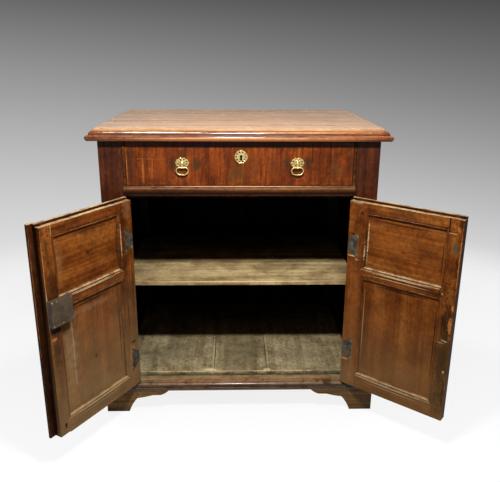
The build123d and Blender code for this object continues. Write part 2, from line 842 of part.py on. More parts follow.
def worn_foot(stile):
    """Rounds the free lower corner of a meeting stile, and the lower edge of its inner face."""
    x = meeting_edge - stile_end_round
    y = door_thickness - stile_end_round
    z = door_low + stile_end_round
    past = stile_end_round + hair
    corner = block(x, x + past, -hair, door_thickness + hair, z - past, z)
    corner = corner - bar_y(x, -2 * hair, door_thickness + 2 * hair, z, stile_end_round)
    inner = block(sight_right - hair, meeting_edge + hair, y, y + past, z - past, z)
    inner = inner - bar_x(sight_right - 2 * hair, meeting_edge + 2 * hair, y, z, stile_end_round)
    return stile - [corner, inner]


def door_lock(pieces):
    """Lock of the left door: its case, bolt and escutcheon, and the keyhole in the stile."""
    door_lock_middle = (middle_rail_low + middle_rail_top) / 2 - door_lock_drop
    case_x1 = meeting_edge - door_lock_edge
    case_x0 = case_x1 - door_lock_width
    case_z0 = door_lock_middle - door_lock_height / 2
    case_z1 = case_z0 + door_lock_height
    half_bolt = door_bolt_height / 2
    bolt_y = door_thickness + bolt_lift
    case = lock_case(case_x0, case_x1, door_thickness, case_z0, case_z1)
    room = block(case_x1 - 2 * lock_wall, case_x1 + hair, bolt_y - bolt_clearance,
                 bolt_y + door_bolt_thickness + bolt_clearance,
                 door_lock_middle - half_bolt - bolt_clearance,
                 door_lock_middle + half_bolt + bolt_clearance)
    bolt = block(case_x1 - door_bolt_length, case_x1, bolt_y, bolt_y + door_bolt_thickness,
                 door_lock_middle - half_bolt, door_lock_middle + half_bolt)
    key_x = meeting_edge - door_keyhole_inset
    key_z = door_lock_middle - half_bolt - door_keyhole_drop
    stile = pieces["left_door_meeting_stile"]
    pieces["left_door_meeting_stile"] = stile - keyhole(key_x, -hair, door_thickness + hair, key_z)
    pieces["left_door_lock_case"] = case - room
    pieces["left_door_escutcheon"] = escutcheon(key_x, 0, key_z, door_escutcheon_diameter)
    return bolt


def worn_beds(pieces):
    """Shallow beds that lost fittings have left on the right door's meeting stile."""
    inner = door_thickness
    past_pegs = inner + peg_proud + hair
    strike_high = middle_rail_top + strike_bed_rise
    strike = block(sight_right, sight_right + strike_bed_width, inner - strike_bed_depth,
                   past_pegs, strike_high - strike_bed_height, strike_high)
    catch_x1 = meeting_edge - catch_bed_edge
    catch = block(catch_x1 - catch_bed_width, catch_x1, inner - catch_bed_depth, past_pegs,
                  door_back_top - catch_bed_height, door_back_top + hair)
    beds = [strike, catch]
    for name in ("right_door_meeting_stile", "right_door_top_rail", "right_door_middle_rail"):
        pieces[name] = pieces[name] - beds
    pieces["right_door_pegs"] = [peg - beds for peg in pieces["right_door_pegs"]]


# ------------------------------------------------------------------ drawer
drawer_half = opening_half - bead_width - drawer_side_gap
drawer_low = drawer_sill_level + drawer_front_gap
drawer_top = drawer_head_level - drawer_front_gap
drawer_side_low = drawer_sill_level + drawer_running_gap
drawer_side_top = drawer_top - drawer_side_drop
drawer_side_inner = drawer_half - drawer_side_thickness
drawer_floor = drawer_side_low + drawer_bottom_lift + drawer_bottom_thickness
handle_height = drawer_head_level - handle_drop
keyhole_height = drawer_head_level - escutcheon_drop + keyhole_middle
bail_axis_y = -(plate_thickness + eye_reach)
bail_axis_z = handle_height - eye_drop


def drawer_side():
    """Right side of the drawer, with dovetails that go into the front."""
    y0 = drawer_front_thickness
    side = block(drawer_side_inner, drawer_half, y0, drawer_length, drawer_side_low,
                 drawer_side_top)
    rebate = block(drawer_side_inner - hair, drawer_side_inner + drawer_bottom_rebate,
                   y0 - hair, drawer_length + hair, drawer_side_low - hair, drawer_floor)
    pitch = (drawer_side_top - drawer_floor) / dovetail_count
    tails = []
    for index in range(dovetail_count):
        middle = drawer_floor + pitch * (index + 1 / 2)
        root = dovetail_root / 2
        tip = root + dovetail_flare
        outline = [(y0 + hair, middle - root), (y0 - dovetail_length, middle - tip),
                   (y0 - dovetail_length, middle + tip), (y0 + hair, middle + root)]
        plane = Plane(origin=(drawer_side_inner, 0, 0), x_dir=(0, 1, 0), z_dir=(1, 0, 0))
        tail = extrude(plane * make_face(Polyline(outline, close=True)),
                       amount=drawer_side_thickness)
        tails.append(tail)
    return side - rebate + tails


def drawer_box():
    side = drawer_side()
    sides = [mirrored(side), side]
    front = block(-drawer_half, drawer_half, 0, drawer_front_thickness, drawer_low, drawer_top)
    rebate_y = drawer_front_thickness - drawer_bottom_rebate
    front_rebate = block(-drawer_half - hair, drawer_half + hair, rebate_y,
                         drawer_front_thickness + hair, drawer_low - hair, drawer_floor)
    shanks = []
    for x in (-handle_offset, handle_offset):
        shanks.append(bar_y(x, -plate_thickness, drawer_front_thickness + shank_end,
                            handle_height, shank_radius))
    key = keyhole(escutcheon_shift, -hair, drawer_front_thickness + hair, keyhole_height)
    add("drawer_front", front - sides - [front_rebate, key] - shanks)
    add("drawer_side_left", sides[0])
    add("drawer_side_right", sides[1])
    back = block(-drawer_side_inner, drawer_side_inner, drawer_length - drawer_side_thickness,
                 drawer_length, drawer_floor, drawer_side_top - drawer_back_drop)
    add("drawer_back", back)
    board_edge = drawer_side_inner + drawer_bottom_rebate
    under = drawer_floor - drawer_bottom_thickness
    half_gap = board_gap / 2
    add("drawer_bottom_boards", [
        block(-board_edge, board_edge, rebate_y, drawer_bottom_seam - half_gap, under,
              drawer_floor),
        block(-board_edge, board_edge, drawer_bottom_seam + half_gap, drawer_length, under,
              drawer_floor),
    ])
    return shanks


def backplate(x):
    """A pierced oval plate."""
    plane = Plane(origin=(x, 0, handle_height), x_dir=(1, 0, 0), z_dir=(0, -1, 0))
    outline = Ellipse(plate_width / 2, plate_height / 2)
    ring_x, ring_z = plate_hole_ring
    holes = [Pos(place.position.X * ring_x, place.position.Y * ring_z)
             * Circle(plate_hole_radius)
             for place in PolarLocations(1, plate_hole_count)]
    return extrude(plane * (outline - holes), amount=plate_thickness)


def handle_post(x, shank):
    """A domed boss on its shank, with the eye that holds the bail."""
    dome_face = make_face([
        Line((0, 0), (boss_radius, 0)),
        ThreePointArc((boss_radius, 0), boss_shoulder, (0, boss_height)),
        Line((0, boss_height), (0, 0)),
    ])
    dome = revolve(Plane.XZ * dome_face, axis=Axis.Z)
    dome = Pos(x, -plate_thickness, handle_height) * Rot(90, 0, 0) * dome
    x0, x1 = x - eye_thickness / 2, x + eye_thickness / 2
    stem = block(x0, x1, bail_axis_y - eye_stem / 2, bail_axis_y + eye_stem / 2,
                 bail_axis_z, handle_height)
    cap = bar_x(x0, x1, bail_axis_y, handle_height, eye_stem / 2)
    eye = bar_x(x0, x1, bail_axis_y, bail_axis_z, eye_radius)
    bore = bar_x(x0 - hair, x1 + hair, bail_axis_y, bail_axis_z,
                 bail_bar_radius + bail_clearance)
    return dome + shank + stem + cap + eye - bore


def bail(x):
    """An oval ring with a straight bar at its top, which hangs in the eye, and a knop below."""
    half = bail_width / 2 - bail_bar_radius
    drop = bail_height - 2 * bail_bar_radius
    half_path = Plane.XZ * FilletPolyline((0, 0), (half, 0), (half, -drop), (0, -drop),
                                          radius=[bail_top_radius, bail_bottom_radius])
    section = Plane(origin=(0, 0, 0), z_dir=(1, 0, 0)) * Circle(bail_bar_radius)
    half_ring = sweep(section, path=half_path)
    knop = Pos(0, 0, -drop) * Sphere(bail_knop_radius)
    return Pos(x, bail_axis_y, bail_axis_z) * (half_ring + mirrored(half_ring) + knop)


def drawer_lock():
    """Lock behind the drawer front. Its bolt rises behind the top rail."""
    x = escutcheon_shift
    face = drawer_front_thickness
    case_z1 = drawer_top - drawer_lock_drop
    bolt_y = face + bolt_lift
    half_bolt = drawer_bolt_width / 2
    case = lock_case(x - drawer_lock_width / 2, x + drawer_lock_width / 2, face,
                     case_z1 - drawer_lock_height, case_z1)
    room = block(x - half_bolt - bolt_clearance, x + half_bolt + bolt_clearance,
                 bolt_y - bolt_clearance, bolt_y + drawer_bolt_thickness + bolt_clearance,
                 case_z1 - 2 * lock_wall, case_z1 + hair)
    add("drawer_lock_case", case - room)
    add("drawer_lock_bolt", block(x - half_bolt, x + half_bolt, bolt_y,
                                  bolt_y + drawer_bolt_thickness,
                                  case_z1 - drawer_bolt_length, case_z1))


# ------------------------------------------------------------------ the whole cupboard

left_pin = Pos(-opening_half, 0, 0)
right_pin = Pos(opening_half, 0, 0)
left_pieces, left_leaves, left_pins, left_rooms = door("left_door", left_hinge_heights)
right_pieces, right_leaves, right_pins, right_rooms = door("right_door", right_hinge_heights)
left_pieces["left_door_meeting_stile"] = worn_foot(left_pieces["left_door_meeting_stile"])
left_pieces["door_lock_bolt"] = door_lock(left_pieces)
left_pieces["left_door_meeting_stile"] = [left_pieces["left_door_meeting_stile"], cover_strip()]
worn_beds(right_pieces)


def as_list(shapes):
    return shapes if isinstance(shapes, list) else [shapes]


for name, shapes in left_pieces.items():
    add(name, [left_pin * Rot(0, 0, -left_open_angle) * shape for shape in as_list(shapes)])
for name, shapes in right_pieces.items():
    add(name, [right_pin * Rot(0, 0, right_open_angle) * mirrored(shape)
               for shape in as_list(shapes)])

post_leaves = [left_pin * leaf for leaf in left_leaves]
post_leaves += [right_pin * mirrored(leaf) for leaf in right_leaves]
hinge_pins = [left_pin * pin for pin in left_pins]
hinge_pins += [right_pin * mirrored(pin) for pin in right_pins]
left_cuts = [left_pin * piece for piece in left_leaves + left_rooms]
right_cuts = [right_pin * mirrored(piece) for piece in right_leaves + right_rooms]

carcass_frame(side_frame(), (left_cuts, right_cuts))
add("post_hinge_leaves", post_leaves)
add("hinge_pins", hinge_pins)
add("door_stop", door_stop())
add("drawer_runners", runners())
add("drawer_opening_mouldings", drawer_mouldings())
boards()
feet()
cornice_front, cornice_sides = mitred_mouldings(cornice_section(), cornice_projection, frame_top,
                                                top_level)
add("top_moulding", [cornice_front] + cornice_sides)
base_front, base_sides = mitred_mouldings(base_section(), base_projection, foot_height,
                                          sill_level)
add("base_moulding", [base_front] + base_sides)

shanks = drawer_box()
handle_places = (-handle_offset, handle_offset)
add("handle_backplates", [backplate(x) - shanks for x in handle_places])
add("handle_posts", [handle_post(x, shank) for x, shank in zip(handle_places, shanks)])
add("bail_left", bail(-handle_offset))
add("bail_right", bail(handle_offset))
add("drawer_escutcheon", escutcheon(escutcheon_shift, 0, keyhole_height,
                                    drawer_escutcheon_diameter))
drawer_lock()

# The origin: on the floor, under the middle of the whole with the doors standing open.
whole_box = Compound([solid for solids in nodes.values() for solid in solids]).bounding_box()
origin_x = (whole_box.min.X + whole_box.max.X) / 2
origin_y = (whole_box.min.Y + whole_box.max.Y) / 2
to_origin = Pos(-origin_x, -origin_y, -whole_box.min.Z)

os.makedirs("parts", exist_ok=True)
for node, solids in nodes.items():
    moved = [to_origin * solid for solid in solids]
    export_step(moved[0] if len(moved) == 1 else Compound(children=moved),
                "parts/" + node + ".step")
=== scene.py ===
import math
import bpy
import bmesh
from mathutils import Matrix, Vector


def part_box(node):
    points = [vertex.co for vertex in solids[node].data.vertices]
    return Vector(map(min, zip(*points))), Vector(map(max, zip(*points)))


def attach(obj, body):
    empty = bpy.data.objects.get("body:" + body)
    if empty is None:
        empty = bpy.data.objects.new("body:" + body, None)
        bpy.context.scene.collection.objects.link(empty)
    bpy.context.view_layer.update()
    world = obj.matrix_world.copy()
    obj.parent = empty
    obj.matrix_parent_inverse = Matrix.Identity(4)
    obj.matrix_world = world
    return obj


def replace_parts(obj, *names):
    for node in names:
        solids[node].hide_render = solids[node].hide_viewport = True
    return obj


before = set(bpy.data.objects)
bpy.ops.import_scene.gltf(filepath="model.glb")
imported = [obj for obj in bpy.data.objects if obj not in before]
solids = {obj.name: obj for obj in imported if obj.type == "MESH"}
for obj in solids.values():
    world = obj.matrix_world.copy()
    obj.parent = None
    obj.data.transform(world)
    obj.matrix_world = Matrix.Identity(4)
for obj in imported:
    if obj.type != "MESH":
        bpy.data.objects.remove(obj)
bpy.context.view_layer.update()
print("cupboard loaded:", len(solids), "solids")

# The carcass has its own measure: x from its middle, y back from its front plane, z up from the floor, in mm
leftPost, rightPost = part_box("front_post_left"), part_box("front_post_right")
middleX = (leftPost[0].x + rightPost[1].x) / 2
frontY = leftPost[0].y


def onCarcass(x, y, z):
    return Vector((middleX + x / 1000, frontY + y / 1000, z / 1000))


# Each door has its own measure too: u from its pin, v from its show face inwards, z up
pinOut = 317  # from the carcass's middle to each pin
dryFrom = 12.5  # v beyond which a door was never polished
doorTurn = {"left": math.radians(-121), "right": math.radians(139)}
doorSide = {"left": -1, "right": 1}


def pinPlace(side):
    return onCarcass(doorSide[side] * pinOut, 0, 0)


def doorFrame(side):
    turn = Matrix.Translation(pinPlace(side)) @ Matrix.Rotation(doorTurn[side], 4, "Z")
    return turn @ Matrix.Scale(-doorSide[side], 4, (1, 0, 0))


# node helpers
def linear(channel):
    value = channel / 255
    return value / 12.92 if value <= 0.04045 else ((value + 0.055) / 1.055) ** 2.4


def tone(red, green, blue):
    return (linear(red), linear(green), linear(blue), 1)


def grey(value):
    return (value, value, value, 1)


def feed(tree, socket, value):
    if isinstance(value, bpy.types.NodeSocket):
        tree.links.new(value, socket)
    else:
        socket.default_value = value


def put(tree, kind, values=None, **settings):
    made = tree.nodes.new("ShaderNode" + kind)
    for name, value in settings.items():
        setattr(made, name, value)
    for name, value in (values or {}).items():
        feed(tree, made.inputs[name], value)
    return made


def calc(tree, operation, *values, clamp=False):
    made = put(tree, "Math", operation=operation, use_clamp=clamp)
    for socket, value in zip(made.inputs, values):
        feed(tree, socket, value)
    return made.outputs[0]


def times(tree, first, second, clamp=False):
    return calc(tree, "MULTIPLY", first, second, clamp=clamp)


def vectorCalc(tree, operation, *values):
    made = put(tree, "VectorMath", operation=operation)
    for socket, value in zip(made.inputs, values):
        feed(tree, socket, value)
    return made.outputs["Value" if operation in ("LENGTH", "DOT_PRODUCT") else "Vector"]


def stretched(tree, vector, share):  # drawn out along its X
    return vectorCalc(tree, "MULTIPLY", vector, (share, 1, 1))


def eased(tree, value, low, high):  # 0 at low, 1 at high
    made = put(tree, "MapRange", {"Value": value, "From Min": low, "From Max": high},
               interpolation_type="SMOOTHSTEP")
    return made.outputs[0]


def between(tree, share, low, high):
    made = put(tree, "Mix", data_type="FLOAT")
    for index, value in ((0, share), (2, low), (3, high)):
        feed(tree, made.inputs[index], value)
    return made.outputs[0]


def painted(tree, share, under, over, mode="MIX"):
    made = put(tree, "Mix", data_type="RGBA", blend_type=mode)
    for index, value in ((0, share), (6, under), (7, over)):
        feed(tree, made.inputs[index], value)
    return made.outputs[2]


def shaded(tree, colour, mask, amount, shade, mode="MIX"):
    return painted(tree, times(tree, mask, amount), colour, tone(*shade), mode)


def parts(tree, vector):
    return put(tree, "SeparateXYZ", {"Vector": vector}).outputs


def clouds(tree, place, scale, detail=2, roughness=0.5, distortion=0):
    made = put(tree, "TexNoise", {"Vector": place, "Scale": scale, "Detail": detail,
                                  "Roughness": roughness, "Distortion": distortion})
    return made.outputs["Fac"]


def ramp(tree, value, stops):
    made = put(tree, "ValToRGB", {"Fac": value})
    band = made.color_ramp
    while len(band.elements) < len(stops):
        band.elements.new(0.5)
    for element, (position, colour) in zip(band.elements, stops):
        element.position, element.color = position, colour
    return made.outputs["Color"]


def mixed(tree, share, under, over):
    made = put(tree, "MixShader", {"Fac": share})
    feed(tree, made.inputs[1], under)
    feed(tree, made.inputs[2], over)
    return made.outputs[0]


def endWith(tree, shader, kind="OutputMaterial"):
    feed(tree, put(tree, kind).inputs["Surface"], shader)


def inSight(tree):  # 1 where the floor or backdrop is seen or reflected, 0 where it only lights
    path = put(tree, "LightPath").outputs
    return calc(tree, "MAXIMUM", path["Is Camera Ray"],
                calc(tree, "MAXIMUM", path["Is Glossy Ray"], path["Is Transmission Ray"]))


def newGroup(name, inputs, outputs):  # an input with no value is a vector, and so is a normal
    tree = bpy.data.node_groups.new(name, "ShaderNodeTree")
    for label, value in {"Vector": None, **inputs}.items():
        kind = "NodeSocketVector" if value is None else "NodeSocketFloat"
        socket = tree.interface.new_socket(label, in_out="INPUT", socket_type=kind)
        if value is not None:
            socket.default_value = value
    for label in outputs:
        kind = "NodeSocketVector" if label == "Normal" else "NodeSocketFloat"
        tree.interface.new_socket(label, in_out="OUTPUT", socket_type=kind)
    return tree, tree.nodes.new("NodeGroupInput").outputs, tree.nodes.new("NodeGroupOutput").inputs


def useGroup(tree, group, values):
    made = put(tree, "Group", node_tree=group)
    for name, value in values.items():
        feed(tree, made.inputs[name], value)
    return made.outputs


def newMaterial(name):
    made = bpy.data.materials.new(name)
    made.use_nodes = True
    made.node_tree.nodes.clear()
    return made, made.node_tree


# shared effects
grainLook = {"wander": 3.0, "sway": (0.022, 0.016), "stretch": 0.06, "shift": (0, 0.06, 0.11), "ringScale": 26.0,
             "ringSway": 7.0, "ringDetail": 3.0, "ringDetailScale": 1.3, "lineScale": 330, "lineStretch": 0.02,
             "poreScale": 820, "poreStretch": 0.07, "crackScale": 260, "crackStretch": 0.1}


def makeOakGrain():  # the grain runs along X of the vector it is given
    look = grainLook
    tree, given, out = newGroup("oakGrain", {"Streaks": 60.0, "Rings": 0.12}, ["Figure", "Lines", "Pores", "Cracks"])
    wander = clouds(tree, given["Vector"], look["wander"], 2)
    drift = put(tree, "CombineXYZ", {"X": 0.0, "Y": times(tree, wander, look["sway"][0]),
                                     "Z": times(tree, wander, look["sway"][1])}).outputs[0]
    swayed = vectorCalc(tree, "ADD", given["Vector"], drift)
    drawn = stretched(tree, swayed, look["stretch"])
    broad = clouds(tree, drawn, given["Streaks"], 5, 0.6, 0.3)
    shifted = vectorCalc(tree, "ADD", drawn, look["shift"])
    rings = put(tree, "TexWave", {"Vector": shifted, "Scale": look["ringScale"], "Distortion": look["ringSway"],
                                  "Detail": look["ringDetail"], "Detail Scale": look["ringDetailScale"]},
                wave_type="RINGS", rings_direction="X")
    feed(tree, out["Figure"], between(tree, given["Rings"], broad, rings.outputs["Fac"]))
    lines = clouds(tree, stretched(tree, swayed, look["lineStretch"]), look["lineScale"], 3, 0.6)
    feed(tree, out["Lines"], eased(tree, lines, 0.4, 0.7))
    pores = clouds(tree, stretched(tree, swayed, look["poreStretch"]), look["poreScale"], 1, 0.5)
    feed(tree, out["Pores"], eased(tree, pores, 0.6, 0.72))
    across = vectorCalc(tree, "MULTIPLY", given["Vector"], (1, look["crackStretch"], look["crackStretch"]))
    feed(tree, out["Cracks"], eased(tree, clouds(tree, across, look["crackScale"], 3, 0.65), 0.6, 0.72))
    return tree


edgeLook = {"samples": 6, "freeReach": 0.012, "free": (0.55, 0.85), "turn": (0.03, 0.3), "chipScale": 55, "chip": 0.72}


def makeSoftEdge():  # rounded arrises, and where they are rubbed
    look = edgeLook
    tree, given, out = newGroup("softEdge", {"Radius": 0.0015, "Rubbed": 0.5}, ["Normal", "Edge"])
    soft = put(tree, "Bevel", {"Radius": given["Radius"]}, samples=look["samples"]).outputs["Normal"]
    flat = put(tree, "NewGeometry").outputs["Normal"]
    turn = calc(tree, "SUBTRACT", 1.0, vectorCalc(tree, "DOT_PRODUCT", soft, flat))
    free = put(tree, "AmbientOcclusion", {"Distance": look["freeReach"]}, samples=look["samples"]).outputs["AO"]
    chips = clouds(tree, given["Vector"], look["chipScale"], 4, 0.7)
    chipped = eased(tree, chips, calc(tree, "SUBTRACT", 0.75, given["Rubbed"]), look["chip"])
    edge = times(tree, times(tree, eased(tree, turn, *look["turn"]), eased(tree, free, *look["free"])), chipped)
    feed(tree, out["Normal"], soft)
    feed(tree, out["Edge"], edge)
    return tree


def makeSettledDust():
    tree, given, out = newGroup("settledDust", {}, ["Dust"])
    up = parts(tree, put(tree, "NewGeometry").outputs["Normal"])["Z"]
    patchy = eased(tree, clouds(tree, given["Vector"], 38, 4, 0.65), 0.3, 0.62)
    feed(tree, out["Dust"], times(tree, eased(tree, up, 0.25, 0.85), patchy))
    return tree


# darker where ambient occlusion finds corners, creases and recesses: painted shade, with some grime
def makeCornerShadeAndGrime():
    tree, given, out = newGroup("cornerShadeAndGrime", {"Reach": 0.02}, ["Grime"])
    seen = put(tree, "AmbientOcclusion", {"Distance": given["Reach"]}, samples=edgeLook["samples"]).outputs["AO"]
    hidden = eased(tree, calc(tree, "SUBTRACT", 1.0, seen), 0.12, 0.75)
    patchy = between(tree, clouds(tree, given["Vector"], 46, 3), 0.55, 1.25)
    feed(tree, out["Grime"], times(tree, hidden, patchy, clamp=True))
    return tree


def makeMark():  # a ragged-edged mark, used for stains, knots, chips and streaks and for painted shade and highlight lines
    tree, given, out = newGroup("mark", {"Centre": None, "Radii": None, "Ragged": 0.4, "Grit": 60.0, "Core": 0.55},
                                ["Mark"])
    away = vectorCalc(tree, "SUBTRACT", given["Vector"], given["Centre"])
    away = vectorCalc(tree, "LENGTH", vectorCalc(tree, "DIVIDE", away, given["Radii"]))
    grit = calc(tree, "SUBTRACT", clouds(tree, given["Vector"], given["Grit"], 4, 0.65), 0.5)
    reach = calc(tree, "ADD", away, times(tree, times(tree, grit, given["Ragged"]), 3.0))
    feed(tree, out["Mark"], calc(tree, "SUBTRACT", 1.0, eased(tree, reach, given["Core"], 1.0)))
    return tree


clearRoom = {"middle": (0, 0.29, 0.45), "half": (0.3655, 0.2465, 0.377)}


def makeInsideCupboard():  # 1 within the clear room behind the doors and the drawer
    tree, given, out = newGroup("insideCupboard", {}, ["Inside"])
    away = vectorCalc(tree, "ABSOLUTE", vectorCalc(tree, "SUBTRACT", given["Vector"], clearRoom["middle"]))
    inside = 1.0
    for part, half in zip(parts(tree, away), clearRoom["half"]):
        inside = times(tree, inside, calc(tree, "LESS_THAN", part, half))
    feed(tree, out["Inside"], inside)
    return tree


oakGrain, softEdge, settledDust = makeOakGrain(), makeSoftEdge(), makeSettledDust()
cornerShadeAndGrime, markGroup, insideCupboard = makeCornerShadeAndGrime(), makeMark(), makeInsideCupboard()


def allOver(*shades):  # the same wood on every face
    return {"tones": shades, "dryAndShade": shades}


# oak: tones are its dark, middle and light shades; the second set is for faces of a door or the drawer that were never
# polished, and for faces inside the cupboard, where the near-black shades of the carcass and back boards and the darker
# ones of the top are painted shade
showOak = {"tones": ((50, 20, 6), (74, 32, 10), (94, 44, 15)), "dryAndShade": ((16, 7, 5), (24, 11, 7), (34, 16, 10)),
           "rubbed": (140, 80, 34), "gloss": (0.34, 0.5), "specular": 0.2, "coat": 0.0, "dust": 0.25,
           "shadeAndGrime": 0.85, "wear": 0.5, "relief": 0.25, "mottle": 0.45, "flecks": 0.06, "stroke": 0.14,
           "streaks": 60.0, "rings": 0.08, "lines": 0.35, "patina": 0.6}
doorOak = dict(showOak, tones=((40, 18, 5), (78, 36, 10), (106, 56, 18)),
               dryAndShade=((90, 43, 12), (126, 68, 22), (152, 92, 38)), rubbed=(214, 140, 70), gloss=(0.42, 0.62),
               specular=0.06, dust=0.9, wear=0.9, relief=0.4, streaks=46.0, lines=0.3, patina=0.85, mottle=0.55,
               flecks=0.12)
drawerOak = dict(showOak, tones=((88, 37, 7), (122, 55, 11), (146, 72, 17)),
                 dryAndShade=((78, 56, 32), (112, 84, 50), (138, 106, 66)), rubbed=(180, 108, 44), gloss=(0.26, 0.42),
                 streaks=120.0, rings=0.0, patina=0.75, dust=0.2, lines=0.5)
mouldingOak = dict(showOak, **allOver((92, 40, 12), (140, 70, 26), (176, 102, 48)), rubbed=(204, 136, 74),
                   gloss=(0.16, 0.3), specular=0.5, coat=0.25, dust=0.15, wear=0.6, streaks=40.0, patina=0.4)
footOak = dict(showOak, **allOver((84, 56, 22), (136, 100, 48), (166, 128, 70)), rubbed=(150, 110, 60),
               gloss=(0.42, 0.62), dust=0.4, shadeAndGrime=0.9, relief=0.4, patina=0.5)
# the top's pale tones are partly its pale, dusty old oak and partly painted sheen standing in for the reflection of the
# light on it
topOak = dict(showOak, tones=((152, 104, 66), (188, 140, 92), (208, 162, 110)),
              dryAndShade=((60, 40, 24), (84, 60, 38), (104, 78, 50)), rubbed=(206, 166, 118), gloss=(0.22, 0.3),
              specular=0.4, dust=0.0, shadeAndGrime=0.4, relief=0.02, patina=0.2, mottle=0.12, flecks=0.0, streaks=28.0,
              lines=0.15)
boardOak = dict(showOak, **allOver((140, 120, 80), (196, 172, 120), (224, 200, 148)), rubbed=(232, 204, 150),
                gloss=(0.6, 0.82), specular=0.15, dust=0.2, shadeAndGrime=0.8, relief=0.4, patina=0.7, flecks=0.5,
                stroke=0.05, mottle=0.6, streaks=44.0, rings=0.0, lines=0.25)
liningOak = dict(boardOak, **allOver((92, 68, 40), (134, 102, 64), (162, 128, 84)), flecks=0.15, mottle=0.5)
backOak = dict(showOak, tones=((52, 32, 18), (84, 56, 34), (112, 80, 52)),
               dryAndShade=((22, 8, 6), (32, 13, 9), (44, 19, 12)), rubbed=(50, 28, 16), gloss=(0.7, 0.86),
               specular=0.1, dust=0.1, shadeAndGrime=0.9, wear=0.2, relief=0.4)
grainTurn = {"x": (0, 0, 0), "y": (0, 0, -math.pi / 2), "z": (0, math.pi / 2, 0)}
oakLook = {"apart": (3.1, 1.7), "figure": (0.26, 0.74), "lineTone": (124, 104, 88), "pores": 0.35,
           "poreTone": (96, 72, 54), "blotchScale": 13, "blotchTone": (150, 128, 112), "mottleScale": 95,
           "mottleTone": (150, 130, 116), "strokeScale": 240, "strokeTone": (196, 172, 124), "hazeScale": 17,
           "arris": 0.0018, "rubbedShare": 0.45, "cornerReach": 0.018, "shadeAndGrimeTone": (16, 8, 4),
           "dustTone": (186, 158, 116), "sheenScale": 24, "dryDull": 0.08, "dustDull": 0.4, "figureHeight": 0.4,
           "depths": {"Lines": 0.25, "Pores": 0.35, "Cracks": 0.2}, "bump": 0.0012, "ior": 1.5, "coatGloss": 0.07}
markDefaults = {"ragged": 0.35, "grit": 60.0, "core": 0.4}


